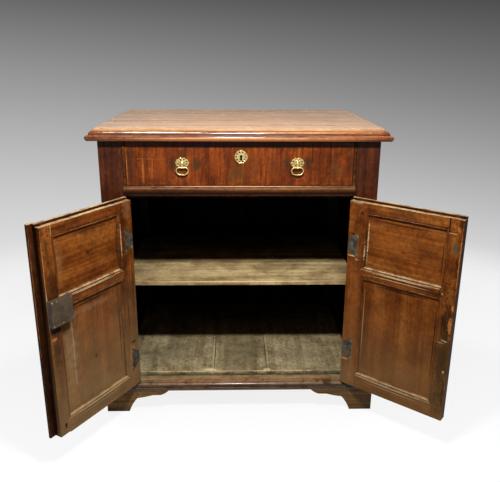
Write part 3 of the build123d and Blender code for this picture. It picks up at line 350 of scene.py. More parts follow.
def oak(name, recipe, along="x", door=None, marks=(), dryFace=None, haze=None, **changes):
    recipe, look = dict(recipe, **changes), oakLook
    made, tree = newMaterial(name)
    raw = put(tree, "TexCoord").outputs["Object"]
    pin = pinPlace(door) if door else onCarcass(0, 0, 0)
    turn, mirror = (doorTurn[door], -doorSide[door]) if door else (0, 1)
    place = put(tree, "Mapping", {"Vector": raw, "Location": pin, "Rotation": (0, 0, turn), "Scale": (mirror, 1, 1)},
                vector_type="TEXTURE").outputs[0]
    chance = put(tree, "ObjectInfo").outputs["Random"]
    apart = put(tree, "CombineXYZ", {"X": times(tree, chance, look["apart"][0]),
                                     "Y": times(tree, chance, look["apart"][1])}).outputs[0]
    lengthwise = put(tree, "Mapping", {"Vector": place, "Rotation": grainTurn[along]}).outputs[0]
    grown = vectorCalc(tree, "ADD", lengthwise, apart)
    grain = useGroup(tree, oakGrain, {"Vector": grown, "Streaks": recipe["streaks"], "Rings": recipe["rings"]})
    if door:
        dryAndShade = calc(tree, "GREATER_THAN", parts(tree, place)["Y"], dryFrom / 1000)
    elif dryFace:
        dryAndShade = dryFace(tree, place)
    else:
        # inside the cupboard the second set of shades paints shade onto the carcass, top and back boards
        dryAndShade = useGroup(tree, insideCupboard, {"Vector": place})["Inside"]

    # the wood's own colour, its age and its small marks; inside the cupboard its darker shades are painted shade, and
    # some marks are painted shade and highlight lines
    figure = eased(tree, grain["Figure"], *look["figure"])
    faces = [ramp(tree, figure, list(zip((0.0, 0.5, 1.0), [tone(*shade) for shade in recipe[kind]])))
             for kind in ("tones", "dryAndShade")]
    colour = painted(tree, dryAndShade, *faces)
    colour = shaded(tree, colour, grain["Lines"], recipe["lines"], look["lineTone"], "MULTIPLY")
    colour = shaded(tree, colour, grain["Pores"], look["pores"], look["poreTone"], "MULTIPLY")
    blotch = clouds(tree, vectorCalc(tree, "ADD", place, apart), look["blotchScale"], 5, 0.62, 0.3)
    colour = shaded(tree, colour, eased(tree, blotch, 0.36, 0.66), recipe["patina"], look["blotchTone"], "MULTIPLY")
    mottle = eased(tree, clouds(tree, place, look["mottleScale"], 4, 0.7), 0.42, 0.62)
    colour = shaded(tree, colour, mottle, recipe["mottle"], look["mottleTone"], "MULTIPLY")
    strokes = clouds(tree, stretched(tree, grown, recipe["stroke"]), look["strokeScale"], 4, 0.75)
    strokes = eased(tree, strokes, 0.6, 0.68)
    colour = shaded(tree, colour, strokes, recipe["flecks"], look["strokeTone"])
    if haze:  # dry, greyish wood low on a door
        share = eased(tree, parts(tree, place)["Z"], haze["top"] / 1000, haze["bottom"] / 1000)
        patchy = between(tree, clouds(tree, place, look["hazeScale"], 4, 0.6), 0.35, 1.5)
        share = times(tree, times(tree, share, haze["amount"]), patchy, clamp=True)
        colour = shaded(tree, colour, share, dryAndShade, haze["tone"])
    for mark in marks:
        held = dict(markDefaults, **mark)
        mask = useGroup(tree, markGroup, {"Vector": place, "Centre": [part / 1000 for part in held["centre"]],
                                          "Radii": [part / 1000 for part in held["radii"]],
                                          "Ragged": held["ragged"], "Grit": held["grit"],
                                          "Core": held["core"]})["Mark"]
        if door and held["centre"][1] > dryFrom:
            mask = times(tree, mask, dryAndShade)
        colour = shaded(tree, colour, mask, held["amount"], held["tone"])

    # what use and time have left on it, and painted shade in its corners and creases
    edges = useGroup(tree, softEdge, {"Vector": place, "Radius": look["arris"], "Rubbed": look["rubbedShare"]})
    colour = shaded(tree, colour, edges["Edge"], recipe["wear"], recipe["rubbed"])
    # near-black painted shade, with some grime, in corners and creases
    shadeAndGrime = useGroup(tree, cornerShadeAndGrime, {"Vector": place, "Reach": look["cornerReach"]})["Grime"]
    colour = shaded(tree, colour, shadeAndGrime, recipe["shadeAndGrime"], look["shadeAndGrimeTone"])
    dust = times(tree, useGroup(tree, settledDust, {"Vector": place})["Dust"], recipe["dust"])
    colour = painted(tree, dust, colour, tone(*look["dustTone"]))
    sheen = between(tree, clouds(tree, place, look["sheenScale"], 4, 0.6), *recipe["gloss"])
    sheen = calc(tree, "ADD", sheen, times(tree, dryAndShade, look["dryDull"]))
    sheen = calc(tree, "ADD", sheen, times(tree, dust, look["dustDull"]), clamp=True)
    relief = times(tree, grain["Figure"], look["figureHeight"])
    for part, depth in look["depths"].items():
        relief = calc(tree, "SUBTRACT", relief, times(tree, grain[part], depth))
    bump = put(tree, "Bump", {"Strength": recipe["relief"], "Distance": look["bump"], "Height": relief,
                              "Normal": edges["Normal"]})
    surface = put(tree, "BsdfPrincipled", {"Base Color": colour, "Roughness": sheen, "Normal": bump.outputs[0],
                                           "IOR": look["ior"], "Specular IOR Level": recipe["specular"],
                                           "Coat Weight": recipe["coat"], "Coat Roughness": look["coatGloss"]})
    endWith(tree, surface.outputs[0])
    return made


def wear(material, *names):
    for name in names:
        for slot in solids[name].material_slots:
            slot.material = material


# metals
metalLook = {"patches": (0.38, 0.66), "rubbedShare": 0.6, "bump": 0.0006, "shadeAndGrimeDull": 0.4}


def metal(name, look):
    made, tree = newMaterial(name)
    place = put(tree, "TexCoord").outputs["Object"]
    patches = eased(tree, clouds(tree, place, look["patchScale"], 5, 0.65), *metalLook["patches"])
    colour = painted(tree, patches, tone(*look["bright"]), tone(*look["dark"]))
    edges = useGroup(tree, softEdge, {"Vector": place, "Radius": look["edge"], "Rubbed": metalLook["rubbedShare"]})
    colour = shaded(tree, colour, edges["Edge"], look["wear"], look["rubbed"])
    # painted shade, with some tarnish and grime, in the metal's corners and hollows, where it is also less metallic
    shadeAndGrime = useGroup(tree, cornerShadeAndGrime, {"Vector": place, "Reach": look["reach"]})["Grime"]
    colour = shaded(tree, colour, shadeAndGrime, look["shadeAndGrime"], look["shadeAndDirt"])
    pits = clouds(tree, place, look["pitScale"], 4, 0.6)
    bump = put(tree, "Bump", {"Strength": look["relief"], "Distance": metalLook["bump"], "Height": pits,
                              "Normal": edges["Normal"]})
    metallic = calc(tree, "SUBTRACT", look["metallic"], times(tree, shadeAndGrime, metalLook["shadeAndGrimeDull"]), clamp=True)
    surface = put(tree, "BsdfPrincipled", {"Base Color": colour, "Roughness": between(tree, patches, *look["gloss"]),
                                           "Metallic": metallic, "Normal": bump.outputs[0]})
    endWith(tree, surface.outputs[0])
    return made


forgedIron = metal("forgedIron", {
    "bright": (92, 76, 56), "dark": (70, 56, 40), "rubbed": (150, 138, 116), "shadeAndDirt": (22, 16, 11), "wear": 0.6,
    "shadeAndGrime": 0.8, "reach": 0.006, "edge": 0.0008, "patchScale": 34, "pitScale": 170, "relief": 0.5,
    "gloss": (0.44, 0.66), "metallic": 0.4})
hingeIron = metal("hingeIron", {
    "bright": (82, 74, 60), "dark": (38, 32, 26), "rubbed": (150, 138, 116), "shadeAndDirt": (14, 10, 7), "wear": 0.5,
    "shadeAndGrime": 0.9, "reach": 0.01, "edge": 0.0008, "patchScale": 60, "pitScale": 150, "relief": 0.7,
    "gloss": (0.5, 0.7), "metallic": 0.35})
wornIron = metal("wornIron", {
    "bright": (150, 132, 104), "dark": (96, 80, 60), "rubbed": (206, 196, 172), "shadeAndDirt": (26, 18, 12), "wear": 0.7,
    "shadeAndGrime": 0.7, "reach": 0.003, "edge": 0.0006, "patchScale": 180, "pitScale": 400, "relief": 0.4,
    "gloss": (0.34, 0.5), "metallic": 0.4})
oldBrass = metal("oldBrass", {
    "bright": (240, 216, 148), "dark": (190, 158, 88), "rubbed": (255, 244, 196), "shadeAndDirt": (48, 32, 12), "wear": 0.8,
    "shadeAndGrime": 1.0, "reach": 0.0045, "edge": 0.0005, "patchScale": 140, "pitScale": 320, "relief": 0.35,
    "gloss": (0.22, 0.38), "metallic": 0.78})

# stains, knots, chips and worn lines, and painted shade, shadow and highlight lines: centre and radii in mm, on a door
# from its pin, else from the carcass, then the shade and how strongly it shows; a low core fades out softly, and ragged
# and grit break the outline
# the first dark colour here serves both dark stains and painted shadow lines, and the last is painted shade in holes,
# slots, gaps and at the backs of the shelf and floor
sootAndShade, pale, orange, olive, deepShade = (26, 13, 6), (196, 172, 134), (188, 112, 54), (70, 62, 40), (8, 4, 2)


def spot(centre, radii, shade, amount, **more):
    return dict(centre=centre, radii=radii, tone=shade, amount=amount, **more)


def onFrame(u, z, across, up, shade, amount, **more):  # on the inner face of a door's frame
    return spot((u, 23, z), (across, 6, up), shade, amount, **more)


def onPanel(u, z, across, up, shade, amount, **more):  # on the inner face of a door's panel
    return spot((u, 20, z), (across, 16, up), shade, amount, **more)


def onFront(x, z, across, up, shade, amount, **more):  # on the drawer's front
    return spot((x, 0, z), (across, 8, up), shade, amount, **more)


# the long dark lines at u 52 and 277 are painted shadow along the panels' edges; on the left door the dark line at u
# 317 is painted shade in the gap behind the cover strip, and the light line at u 330 a painted highlight on the strip's
# edge
stileMarks = {
    "left": [
        onFrame(295, 400, 26, 300, (56, 34, 17), 0.66, core=-0.1),
        onFrame(20, 640, 18, 30, (112, 84, 56), 0.4, ragged=0.9),
        spot((316.2, 23, 520), (1.5, 3, 140), pale, 0.75, ragged=0.5),
        onFrame(48, 560, 2, 72, pale, 0.75, ragged=0.7, grit=120.0), onFrame(283, 647, 2.2, 16, pale, 0.9),
        onFrame(302, 590, 7, 52, sootAndShade, 0.5), spot((316, 20, 560), (3.2, 6, 110), orange, 0.8, ragged=0.7, grit=120.0),
        spot((315, 22, 455), (1.8, 4, 78), pale, 0.8), onFrame(296, 393, 20, 9, sootAndShade, 0.85),
        onFrame(305, 372, 11, 6, orange, 0.9), onFrame(300, 330, 16, 40, sootAndShade, 0.35),
        onFrame(21, 552, 7, 28, deepShade, 0.95, ragged=0.12), onFrame(7, 530, 2.4, 12, pale, 0.9, ragged=0.15),
        onFrame(30, 205, 15, 42, (172, 116, 62), 0.75), onFrame(22, 240, 14, 4, deepShade, 0.9),
        onFrame(12, 400, 3, 120, sootAndShade, 0.6), onFrame(52, 400, 2.5, 240, sootAndShade, 0.55, ragged=0.15),
        onFrame(296, 124, 5, 12, deepShade, 0.95), onFrame(36, 330, 3, 60, (60, 26, 10), 0.6),
        spot((322, -6, 380), (18, 9, 340), (44, 24, 10), 0.55, ragged=0.2, core=0.85),
        spot((322, -6, 570), (18, 9, 150), (146, 80, 34), 0.5, core=-0.4),
        spot((330, -1, 500), (1.6, 3, 190), (176, 104, 48), 0.8, ragged=0.5),
        spot((317, 10, 380), (4, 9, 330), (40, 20, 9), 0.5),
        spot((317, 2, 420), (2, 2, 260), (150, 110, 70), 0.6, ragged=0.6)],
    "right": [
        onFrame(30, 360, 40, 330, (160, 94, 40), 0.5, core=-0.4),
        onFrame(300, 290, 27, 220, (54, 42, 22), 0.74, core=0.2),
        onFrame(296, 150, 30, 90, (58, 48, 28), 0.55, core=-0.2),
        onFrame(22, 120, 54, 60, (150, 120, 84), 0.55, core=-0.4),
        onFrame(293, 633, 17, 15, (196, 112, 46), 0.95, ragged=0.7, grit=110.0),
        onFrame(300, 628, 5, 4, deepShade, 0.8, ragged=0.6), onFrame(289, 621, 3, 3, deepShade, 1.0, ragged=0.05),
        onFrame(303, 585, 12, 21, olive, 0.85), onFrame(300, 390, 22, 66, sootAndShade, 0.75),
        onFrame(313, 424, 5, 13, orange, 0.85, ragged=0.9, grit=140.0),
        onFrame(311, 374, 7, 28, orange, 0.8, ragged=0.9, grit=140.0),
        onFrame(299, 330, 13, 2, pale, 0.9, ragged=0.15),
        spot((316, 21, 545), (3.4, 6, 105), orange, 0.85, ragged=0.7, grit=120.0),
        onFrame(40, 631, 5, 5, sootAndShade, 0.9, ragged=0.1), onFrame(50, 493, 4, 4, sootAndShade, 0.9, ragged=0.1),
        onFrame(22, 524, 11, 34, (88, 80, 64), 0.6), onFrame(16, 566, 10, 3, deepShade, 0.9),
        onFrame(52, 400, 2.2, 240, sootAndShade, 0.5, ragged=0.15), onFrame(277, 380, 2.6, 250, sootAndShade, 0.6, ragged=0.15),
        onFrame(312, 180, 5, 70, sootAndShade, 0.5), onFrame(53, 640, 3, 20, pale, 0.7, ragged=0.9, grit=150.0),
        onFrame(53, 520, 2.6, 40, pale, 0.75, ragged=0.9, grit=150.0),
        onFrame(20, 660, 26, 8, (150, 128, 98), 0.55, ragged=0.7), onFrame(16, 502, 15, 2.4, pale, 0.8, ragged=0.5),
        onFrame(32, 494, 9, 2.4, pale, 0.7, ragged=0.5), onFrame(14, 178, 12, 2.4, pale, 0.7, ragged=0.5)]}
# light and dark lines along the mouldings above the middle and bottom rails, the light ones partly dust and partly
# painted highlight on the upward faces, the dark ones painted shade in the grooves and, at 437, painted shadow under
# the middle rail: level, half height, shade, amount
reedLines = (
    (475, 2.2, pale, 0.9), (470.5, 1.9, sootAndShade, 0.8), (466, 2.0, pale, 0.75), (461.5, 1.8, sootAndShade, 0.6),
    (437, 2.8, sootAndShade, 0.85), (141.5, 2.3, pale, 0.85), (137, 1.9, sootAndShade, 0.8), (133, 2.0, pale, 0.7),
    (129, 1.8, sootAndShade, 0.7), (125.5, 1.8, pale, 0.45))
reeds = [spot((165, 23, level), (111, 5, half), shade, amount, ragged=0.15)
         for level, half, shade, amount in reedLines]
railMarks = {
    "left": reeds + [
        onFrame(165, 660, 110, 3, sootAndShade, 0.55), onFrame(250, 640, 18, 10, sootAndShade, 0.5),
        onFrame(165, 116, 112, 16, (120, 98, 68), 0.45, core=-0.4),
        onFrame(165, 645, 112, 12, (128, 62, 22), 0.4, core=-0.3),
        onFrame(165, 454, 112, 12, (122, 58, 22), 0.4, core=-0.3)],
    "right": reeds + [
        spot((165, 23, 457.5), (111, 5, 1.8), pale, 0.6, ragged=0.2),
        # painted shadow under the top rail's moulding
        onFrame(165, 626, 112, 3.4, sootAndShade, 0.75, ragged=0.15),
        onFrame(165, 449, 112, 12, (156, 80, 30), 0.45, core=-0.3),
        onFrame(165, 110, 112, 14, (104, 76, 42), 0.5, core=-0.3),
        onFrame(165, 645, 112, 10, (66, 40, 20), 0.45, ragged=0.9, core=-0.2)]}
# the dark lines along each panel's top and sides are painted shadow from the frame's mouldings
upperMarks = {
    "left": [
        onPanel(262, 555, 20, 80, (150, 112, 74), 0.62, core=-0.5, ragged=0.5),
        onPanel(165, 555, 9, 8, sootAndShade, 0.75, ragged=0.6, grit=120.0), onPanel(176, 566, 14, 3, (70, 30, 12), 0.6),
        onPanel(150, 545, 12, 3, (66, 28, 12), 0.6), onPanel(165, 614, 110, 4, sootAndShade, 0.6),
        onPanel(270, 550, 2, 75, sootAndShade, 0.6), onPanel(190, 530, 90, 50, (140, 60, 20), 0.45, core=-0.6),
        onPanel(60, 550, 3.5, 75, sootAndShade, 0.65)],
    "right": [
        onPanel(163, 540, 6, 5, sootAndShade, 0.75, ragged=0.5, grit=120.0),
        onPanel(165, 613, 112, 3.4, sootAndShade, 0.8, ragged=0.15),
        onPanel(59, 550, 2.2, 74, pale, 0.75, ragged=0.7, grit=140.0),
        onPanel(270, 545, 2.2, 72, sootAndShade, 0.8, ragged=0.2), onPanel(120, 550, 80, 60, (146, 84, 38), 0.5, core=-0.6),
        onPanel(235, 520, 40, 60, (92, 50, 22), 0.5, core=-0.5),
        onPanel(84, 600, 26, 12, (120, 96, 66), 0.5, core=-0.5)]}
# the dark lines along each panel's top, under the middle rail, and along its sides are painted shadow from the frame's
# mouldings
lowerMarks = {
    "left": [
        onPanel(250, 300, 42, 190, (166, 134, 96), 0.75, core=-0.4, ragged=0.5),
        onPanel(240, 300, 3, 150, (190, 166, 128), 0.4, ragged=0.5), onPanel(165, 425, 110, 6, sootAndShade, 0.7, ragged=0.2),
        onPanel(165, 408, 110, 14, (156, 126, 90), 0.6, core=-0.5, ragged=0.5),
        onPanel(165, 261, 5, 12, (56, 38, 22), 0.7), onPanel(67, 300, 3.4, 150, sootAndShade, 0.6, ragged=0.2),
        onPanel(120, 320, 60, 120, (128, 66, 24), 0.5, core=-0.6),
        onPanel(150, 172, 110, 34, (146, 120, 86), 0.6, core=-0.5, ragged=0.5)],
    "right": [
        onPanel(157, 338, 1.4, 88, (44, 24, 12), 0.75, ragged=0.1),
        onPanel(165, 428, 112, 4.5, sootAndShade, 0.85, ragged=0.15), onPanel(270, 300, 2.6, 150, sootAndShade, 0.75, ragged=0.2),
        onPanel(112, 219, 13, 15, (150, 116, 76), 0.45, core=-0.3, ragged=0.8),
        onPanel(112, 219, 8, 9, (92, 58, 30), 0.5), onPanel(84, 409, 6, 4, sootAndShade, 0.6),
        onPanel(60, 300, 2, 140, pale, 0.35, ragged=0.2), onPanel(180, 180, 110, 50, (128, 98, 62), 0.5, core=-0.6),
        onPanel(110, 340, 60, 110, (132, 78, 34), 0.5, core=-0.6),
        onPanel(230, 380, 50, 60, (84, 46, 22), 0.4, core=-0.5)]}
# painted highlights along the beads at 841.4 and 827; the dark lines at 833 and 837.6 are painted shade in the
# moulding's quirks and the one at 819 painted shadow under the moulding, while the line at 844.5 is the joint with the
# top
corniceMarks = [
    spot((0, -26, 824), (430, 14, 8), (168, 98, 48), 0.8, ragged=0.1),
    spot((0, -24, 833), (430, 20, 2.1), (36, 16, 6), 0.9, ragged=0.1),
    spot((0, -16, 837.6), (430, 14, 1.9), (46, 20, 8), 0.85, ragged=0.1),
    spot((0, 0, 819), (400, 24, 2), (20, 8, 4), 0.8, ragged=0.1),
    spot((0, -15, 844.5), (430, 22, 1.5), (50, 22, 8), 0.9, ragged=0.2),
    spot((-230, -20, 841.4), (160, 20, 1.7), (252, 240, 224), 0.7, ragged=0.5),
    spot((200, -20, 841.4), (230, 20, 1.4), (226, 178, 128), 0.3, ragged=0.9),
    spot((0, -26, 827), (430, 12, 1.5), (232, 176, 116), 0.45, ragged=0.4)]
# a painted highlight along the top of the bead under the drawer
bandMarks = [spot((0, -6, 694.5), (316, 9, 1.3), (226, 166, 116), 0.8, ragged=0.15)]
baseMarks = [
    spot((0, -4, 93), (372, 16, 2.2), (150, 62, 22), 0.9, ragged=0.3),
    spot((0, -21, 72.5), (372, 6, 2.6), (158, 88, 42), 0.8, ragged=0.3),
    spot((0, -14, 90), (372, 8, 0.9), (30, 14, 6), 0.8, ragged=0.2)]
drawerMarks = [
    onFront(-184, 755, 10, 24, (40, 32, 16), 0.8), onFront(-119, 755, 12, 24, (42, 34, 16), 0.8),
    onFront(128, 755, 9, 24, (40, 32, 16), 0.75), onFront(184, 755, 9, 24, (40, 32, 16), 0.75),
    onFront(-152, 785, 30, 12, (58, 36, 16), 0.45), onFront(-293, 755, 9, 70, (58, 36, 16), 0.6),
    onFront(257, 755, 9, 60, (56, 32, 14), 0.55), onFront(301, 755, 8, 60, (56, 32, 14), 0.55),
    onFront(-10, 728, 26, 34, (62, 42, 14), 0.65, ragged=0.8),
    onFront(-215, 745, 34, 50, (150, 70, 14), 0.35, core=-0.5),
    onFront(-70, 745, 30, 50, (152, 66, 12), 0.4, core=-0.5),
    onFront(270, 735, 22, 40, (120, 80, 34), 0.3, core=-0.4),
    onFront(-262, 745, 3, 50, (176, 112, 50), 0.35, ragged=0.8),
    onFront(-236, 745, 2, 50, (170, 104, 44), 0.35, ragged=0.8),
    onFront(-250, 769, 62, 0.8, (168, 104, 54), 0.45, ragged=0.3),
    onFront(-305, 745, 1.3, 50, (176, 120, 70), 0.5, ragged=0.5), onFront(30, 750, 30, 44, (70, 36, 12), 0.45),
    # the last mark, the dark band along the top, is a painted shadow of the cornice
    onFront(95, 750, 26, 44, (70, 34, 10), 0.35), onFront(0, 806, 330, 9, (26, 12, 6), 0.7, ragged=0.1)]
shelfMarks = [
    # the near-black back, behind the line where the lamp's light stops, is painted shade, and the darker ends are
    # painted shade by the sides
    spot((0, 545, 385), (460, 252, 60), deepShade, 0.94, ragged=0.08),
    spot((-330, 180, 385), (120, 170, 20), (84, 70, 46), 0.85, core=-0.3),
    spot((350, 180, 385), (90, 170, 20), (84, 70, 46), 0.85, core=-0.3),
    spot((-60, 150, 385), (150, 6, 10), (200, 178, 132), 0.5),
    spot((120, 110, 385), (130, 4, 10), (120, 100, 66), 0.5),
    spot((0, 76, 384), (360, 3, 3), (236, 208, 150), 0.7, ragged=0.1),
    spot((40, 190, 385), (90, 4, 10), (110, 92, 60), 0.5), spot((200, 160, 385), (60, 10, 10), (214, 192, 144), 0.4)]
floorMarks = [
    # the near-black back, behind the line where the lamp's light stops, is painted shade
    spot((0, 535, 108), (460, 256, 60), deepShade, 0.94, ragged=0.08),
    spot((-84, 150, 108), (2.6, 150, 8), (226, 204, 156), 0.3, ragged=0.6),
    spot((89, 150, 108), (2.4, 150, 8), (222, 200, 152), 0.3, ragged=0.6),
    spot((-90, 34, 108), (26, 12, 8), (236, 214, 166), 0.9, ragged=0.6),
    spot((84, 32, 108), (14, 10, 8), (232, 208, 160), 0.85, ragged=0.6),
    spot((-79, 150, 108), (2.0, 160, 8), (20, 14, 8), 0.95, ragged=0.1),
    spot((84, 150, 108), (2.0, 160, 8), (20, 14, 8), 0.95, ragged=0.1),
    spot((-230, 150, 108), (70, 70, 8), (96, 92, 72), 0.5, ragged=0.5),
    spot((0, 140, 108), (50, 80, 8), (104, 98, 74), 0.4, ragged=0.5),
    spot((200, 120, 108), (80, 60, 8), (108, 100, 76), 0.4, ragged=0.5),
    spot((0, 26, 108), (350, 3, 8), (222, 196, 146), 0.7, ragged=0.8),
    spot((0, 150, 108), (74, 200, 8), (96, 88, 62), 0.45, core=0.6),
    spot((-320, 160, 108), (60, 150, 8), (74, 74, 62), 0.6, core=-0.3, ragged=0.6),
    spot((-140, 70, 108), (44, 60, 8), (206, 190, 146), 0.5, core=-0.5, ragged=1.2, grit=110.0),
    spot((230, 90, 108), (110, 80, 8), (204, 188, 144), 0.3, core=-0.5, ragged=1.2, grit=110.0)]

# each piece of oak gets its finish
wear(oak("postOak", showOak, "z"), "front_post_left", "front_post_right", "back_posts")
wear(oak("railOak", showOak), "top_rail", "drawer_rail")
wear(oak("sillOak", footOak, **allOver((92, 72, 42), (134, 110, 72), (160, 136, 94))), "bottom_rail")
wear(oak("sideRailOak", showOak, "y"), "side_rails_left", "side_rails_right")
wear(oak("sidePanelOak", showOak, "z", streaks=40.0), "side_panels_left", "side_panels_right")
wear(oak("pegOak", showOak, "z"), "carcass_pegs")
wear(oak("corniceOak", mouldingOak, marks=corniceMarks, gloss=(0.34, 0.54), specular=0.22, coat=0.32,
         tones=((80, 34, 10), (120, 58, 22), (152, 84, 38))), "top_moulding")
wear(oak("bandOak", mouldingOak, marks=bandMarks, gloss=(0.46, 0.6), specular=0.1, coat=0.0,
         tones=((50, 23, 7), (82, 43, 16), (114, 70, 32))), "drawer_opening_mouldings")
wear(oak("baseOak", footOak, marks=baseMarks, gloss=(0.14, 0.24), specular=0.22, coat=0.26, mottle=0.2,
         tones=((40, 24, 10), (66, 42, 20), (92, 62, 34))), "base_moulding")
wear(oak("footOak", footOak), "front_feet", "back_feet")
wear(oak("topOak", topOak), "top_boards")
wear(oak("floorOak", boardOak, "y", marks=floorMarks, streaks=26.0,
         **allOver((104, 98, 72), (158, 148, 112), (196, 184, 144))), "floor_boards")
wear(oak("shelfOak", boardOak, marks=shelfMarks, flecks=0.2, mottle=0.35), "shelf")
wear(oak("backBoardOak", backOak, "z"), "back_boards")
wear(oak("roughOak", backOak, "y"), "back_rails", "drawer_runners", "shelf_bearers", "foot_blocks", "door_stop")
drawerSkin = 20.5  # y behind which the drawer's front was never polished


def behindFront(tree, place):
    return calc(tree, "GREATER_THAN", parts(tree, place)["Y"], drawerSkin / 1000)


wear(oak("drawerFrontOak", drawerOak, "z", dryFace=behindFront, marks=drawerMarks), "drawer_front")
wear(oak("drawerSideOak", liningOak, "y"), "drawer_side_left", "drawer_side_right")
wear(oak("drawerBackOak", liningOak), "drawer_back", "drawer_bottom_boards")
lowHaze = {"left": {"top": 520, "bottom": 120, "amount": 0.66, "tone": (150, 118, 78)},
           "right": {"top": 420, "bottom": 100, "amount": 0.52, "tone": (144, 106, 64)}}
for side, haze in lowHaze.items():
    panelOak = dict(doorOak, patina=0.6, mottle=0.4)
    wear(oak(side + "StileOak", doorOak, "z", side, haze=haze, marks=stileMarks[side]),
         side + "_door_hinge_stile", side + "_door_meeting_stile", side + "_door_pegs")
    wear(oak(side + "DoorRailOak", doorOak, "x", side, haze=haze, marks=railMarks[side]),
         side + "_door_top_rail", side + "_door_middle_rail", side + "_door_bottom_rail")
    wear(oak(side + "UpperPanelOak", panelOak, "x", side, streaks=26.0, marks=upperMarks[side]),
         side + "_door_upper_panel")
    wear(oak(side + "LowerPanelOak", panelOak, "z", side, streaks=24.0, haze=haze, marks=lowerMarks[side]),
         side + "_door_lower_panel")
wear(hingeIron, "post_hinge_leaves", "hinge_pins", "left_door_hinge_leaves", "right_door_hinge_leaves")
wear(forgedIron, "left_door_lock_case", "door_lock_bolt", "drawer_lock_case", "drawer_lock_bolt")
wear(oldBrass, "left_door_escutcheon", "handle_posts", "bail_left", "bail_right")
print("finishes on the solids:", len(bpy.data.materials))

# a near-black finish for sheets and strips that stand where there is only shade: painted shade
shadeFillLook = {"dark": (6, 4, 2), "light": (20, 13, 8), "scale": 120, "grit": 420, "bump": 0.0005}


def makeShadeFill():
    look = shadeFillLook
    made, tree = newMaterial("shadeFill")
    place = put(tree, "TexCoord").outputs["Object"]
    colour = ramp(tree, clouds(tree, place, look["scale"], 4, 0.7),
                  [(0.3, tone(*look["dark"])), (0.7, tone(*look["light"]))])
    bump = put(tree, "Bump", {"Strength": 0.4, "Distance": look["bump"],
                              "Height": clouds(tree, place, look["grit"], 3, 0.6)})
    surface = put(tree, "BsdfPrincipled", {"Base Color": colour, "Roughness": 0.9, "Specular IOR Level": 0.05,
                                           "Normal": bump.outputs[0]})
    endWith(tree, surface.outputs[0])
    return made


shadeFill = makeShadeFill()
weld = 1e-6  # vertices nearer than this are one


def link(name, data):
    made = bpy.data.objects.new(name, data)
    bpy.context.scene.collection.objects.link(made)
    return made


def shown(name, shape, material):
    mesh = bpy.data.meshes.new(name)
    shape.to_mesh(mesh)
    shape.free()
    mesh.materials.append(material)
    return link(name, mesh)


def finished(name, shape, body, material):
    bmesh.ops.remove_doubles(shape, verts=shape.verts, dist=weld)
    bmesh.ops.recalc_face_normals(shape, faces=shape.faces)
    made = shown(name, shape, material)
    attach(made, body)
    return made


def ringLine(middle, radii, start=0.0, count=40):
    turn = 2 * math.pi / count
    return [(middle[0] + radii[0] * math.cos(start + step * turn), middle[1] + radii[1] * math.sin(start + step * turn))
            for step in range(count)]


def sheetOf(outlines, thickness, bevel):  # a flat plate with its piercings, lying in x and z with its face to -y
    drawn = bpy.data.curves.new("outline", "CURVE")
    drawn.dimensions, drawn.fill_mode = "2D", "BOTH"
    drawn.extrude = (thickness / 2 - bevel) / 1000
    drawn.bevel_depth, drawn.bevel_resolution, drawn.offset = bevel / 1000, 2, -bevel / 1000
    for outline in outlines:
        line = drawn.splines.new("POLY")
        line.points.add(len(outline) - 1)
        line.use_cyclic_u = True
        for point, (across, up) in zip(line.points, outline):
            point.co = (across / 1000, up / 1000, 0, 1)
    held = link("outline", drawn)
    mesh = bpy.data.meshes.new_from_object(held.evaluated_get(bpy.context.evaluated_depsgraph_get()))
    bpy.data.objects.remove(held)
    bpy.data.curves.remove(drawn)
    shape = bmesh.new()
    shape.from_mesh(mesh)
    bpy.data.meshes.remove(mesh)
    bmesh.ops.remove_doubles(shape, verts=shape.verts, dist=weld)
    bmesh.ops.rotate(shape, verts=shape.verts, cent=(0, 0, 0), matrix=Matrix.Rotation(math.pi / 2, 3, "X"))
    return shape


def hoop(shape, radius, wire, back, segments):  # a round bead lying in x and z
    before = set(shape.verts)
    start = bmesh.ops.create_circle(shape, cap_ends=False, segments=10, radius=wire / 1000)["verts"]
    bmesh.ops.translate(shape, verts=start, vec=(radius / 1000, 0, 0))
    edges = list({edge for vert in start for edge in vert.link_edges})
    bmesh.ops.spin(shape, geom=start + edges, cent=(0, 0, 0), axis=(0, 1, 0), dvec=(0, 0, 0),
                   angle=2 * math.pi, steps=segments, use_merge=True)
    bead = [vert for vert in shape.verts if vert not in before]
    bmesh.ops.translate(shape, verts=bead, vec=(0, back / 1000, 0))


# plates stand clear of the wood, on a thin near-black sheet that shows through their piercings: painted shade in the
# holes
plateLook = {"bevel": 0.3, "stand": 0.35, "shadeThick": 0.4, "shadeBevel": 0.1, "shadeStand": 0.21}


def shadeSheet(radii, count):
    return sheetOf([ringLine((0, 0), radii, count=count)], plateLook["shadeThick"], plateLook["shadeBevel"])


# the pierced plate round the drawer's keyhole
escutcheonLook = {"middle": (3, 775), "radius": 17.8, "sides": 64, "thick": 1.6, "rim": 1.15, "rimOut": 0.8,
                  "rimSides": 56, "holes": 10, "holeRing": 12.9, "hole": (2.2, 1.9), "holeSides": 12,
                  "keyHead": 3.9, "keyRise": 1.5, "keyArc": (-35, 25, 11), "keyFoot": (2.8, 3.4), "keyDrop": 10.5,
                  "shadeAndDirt": (15.8, 15.8), "shadeSides": 32}


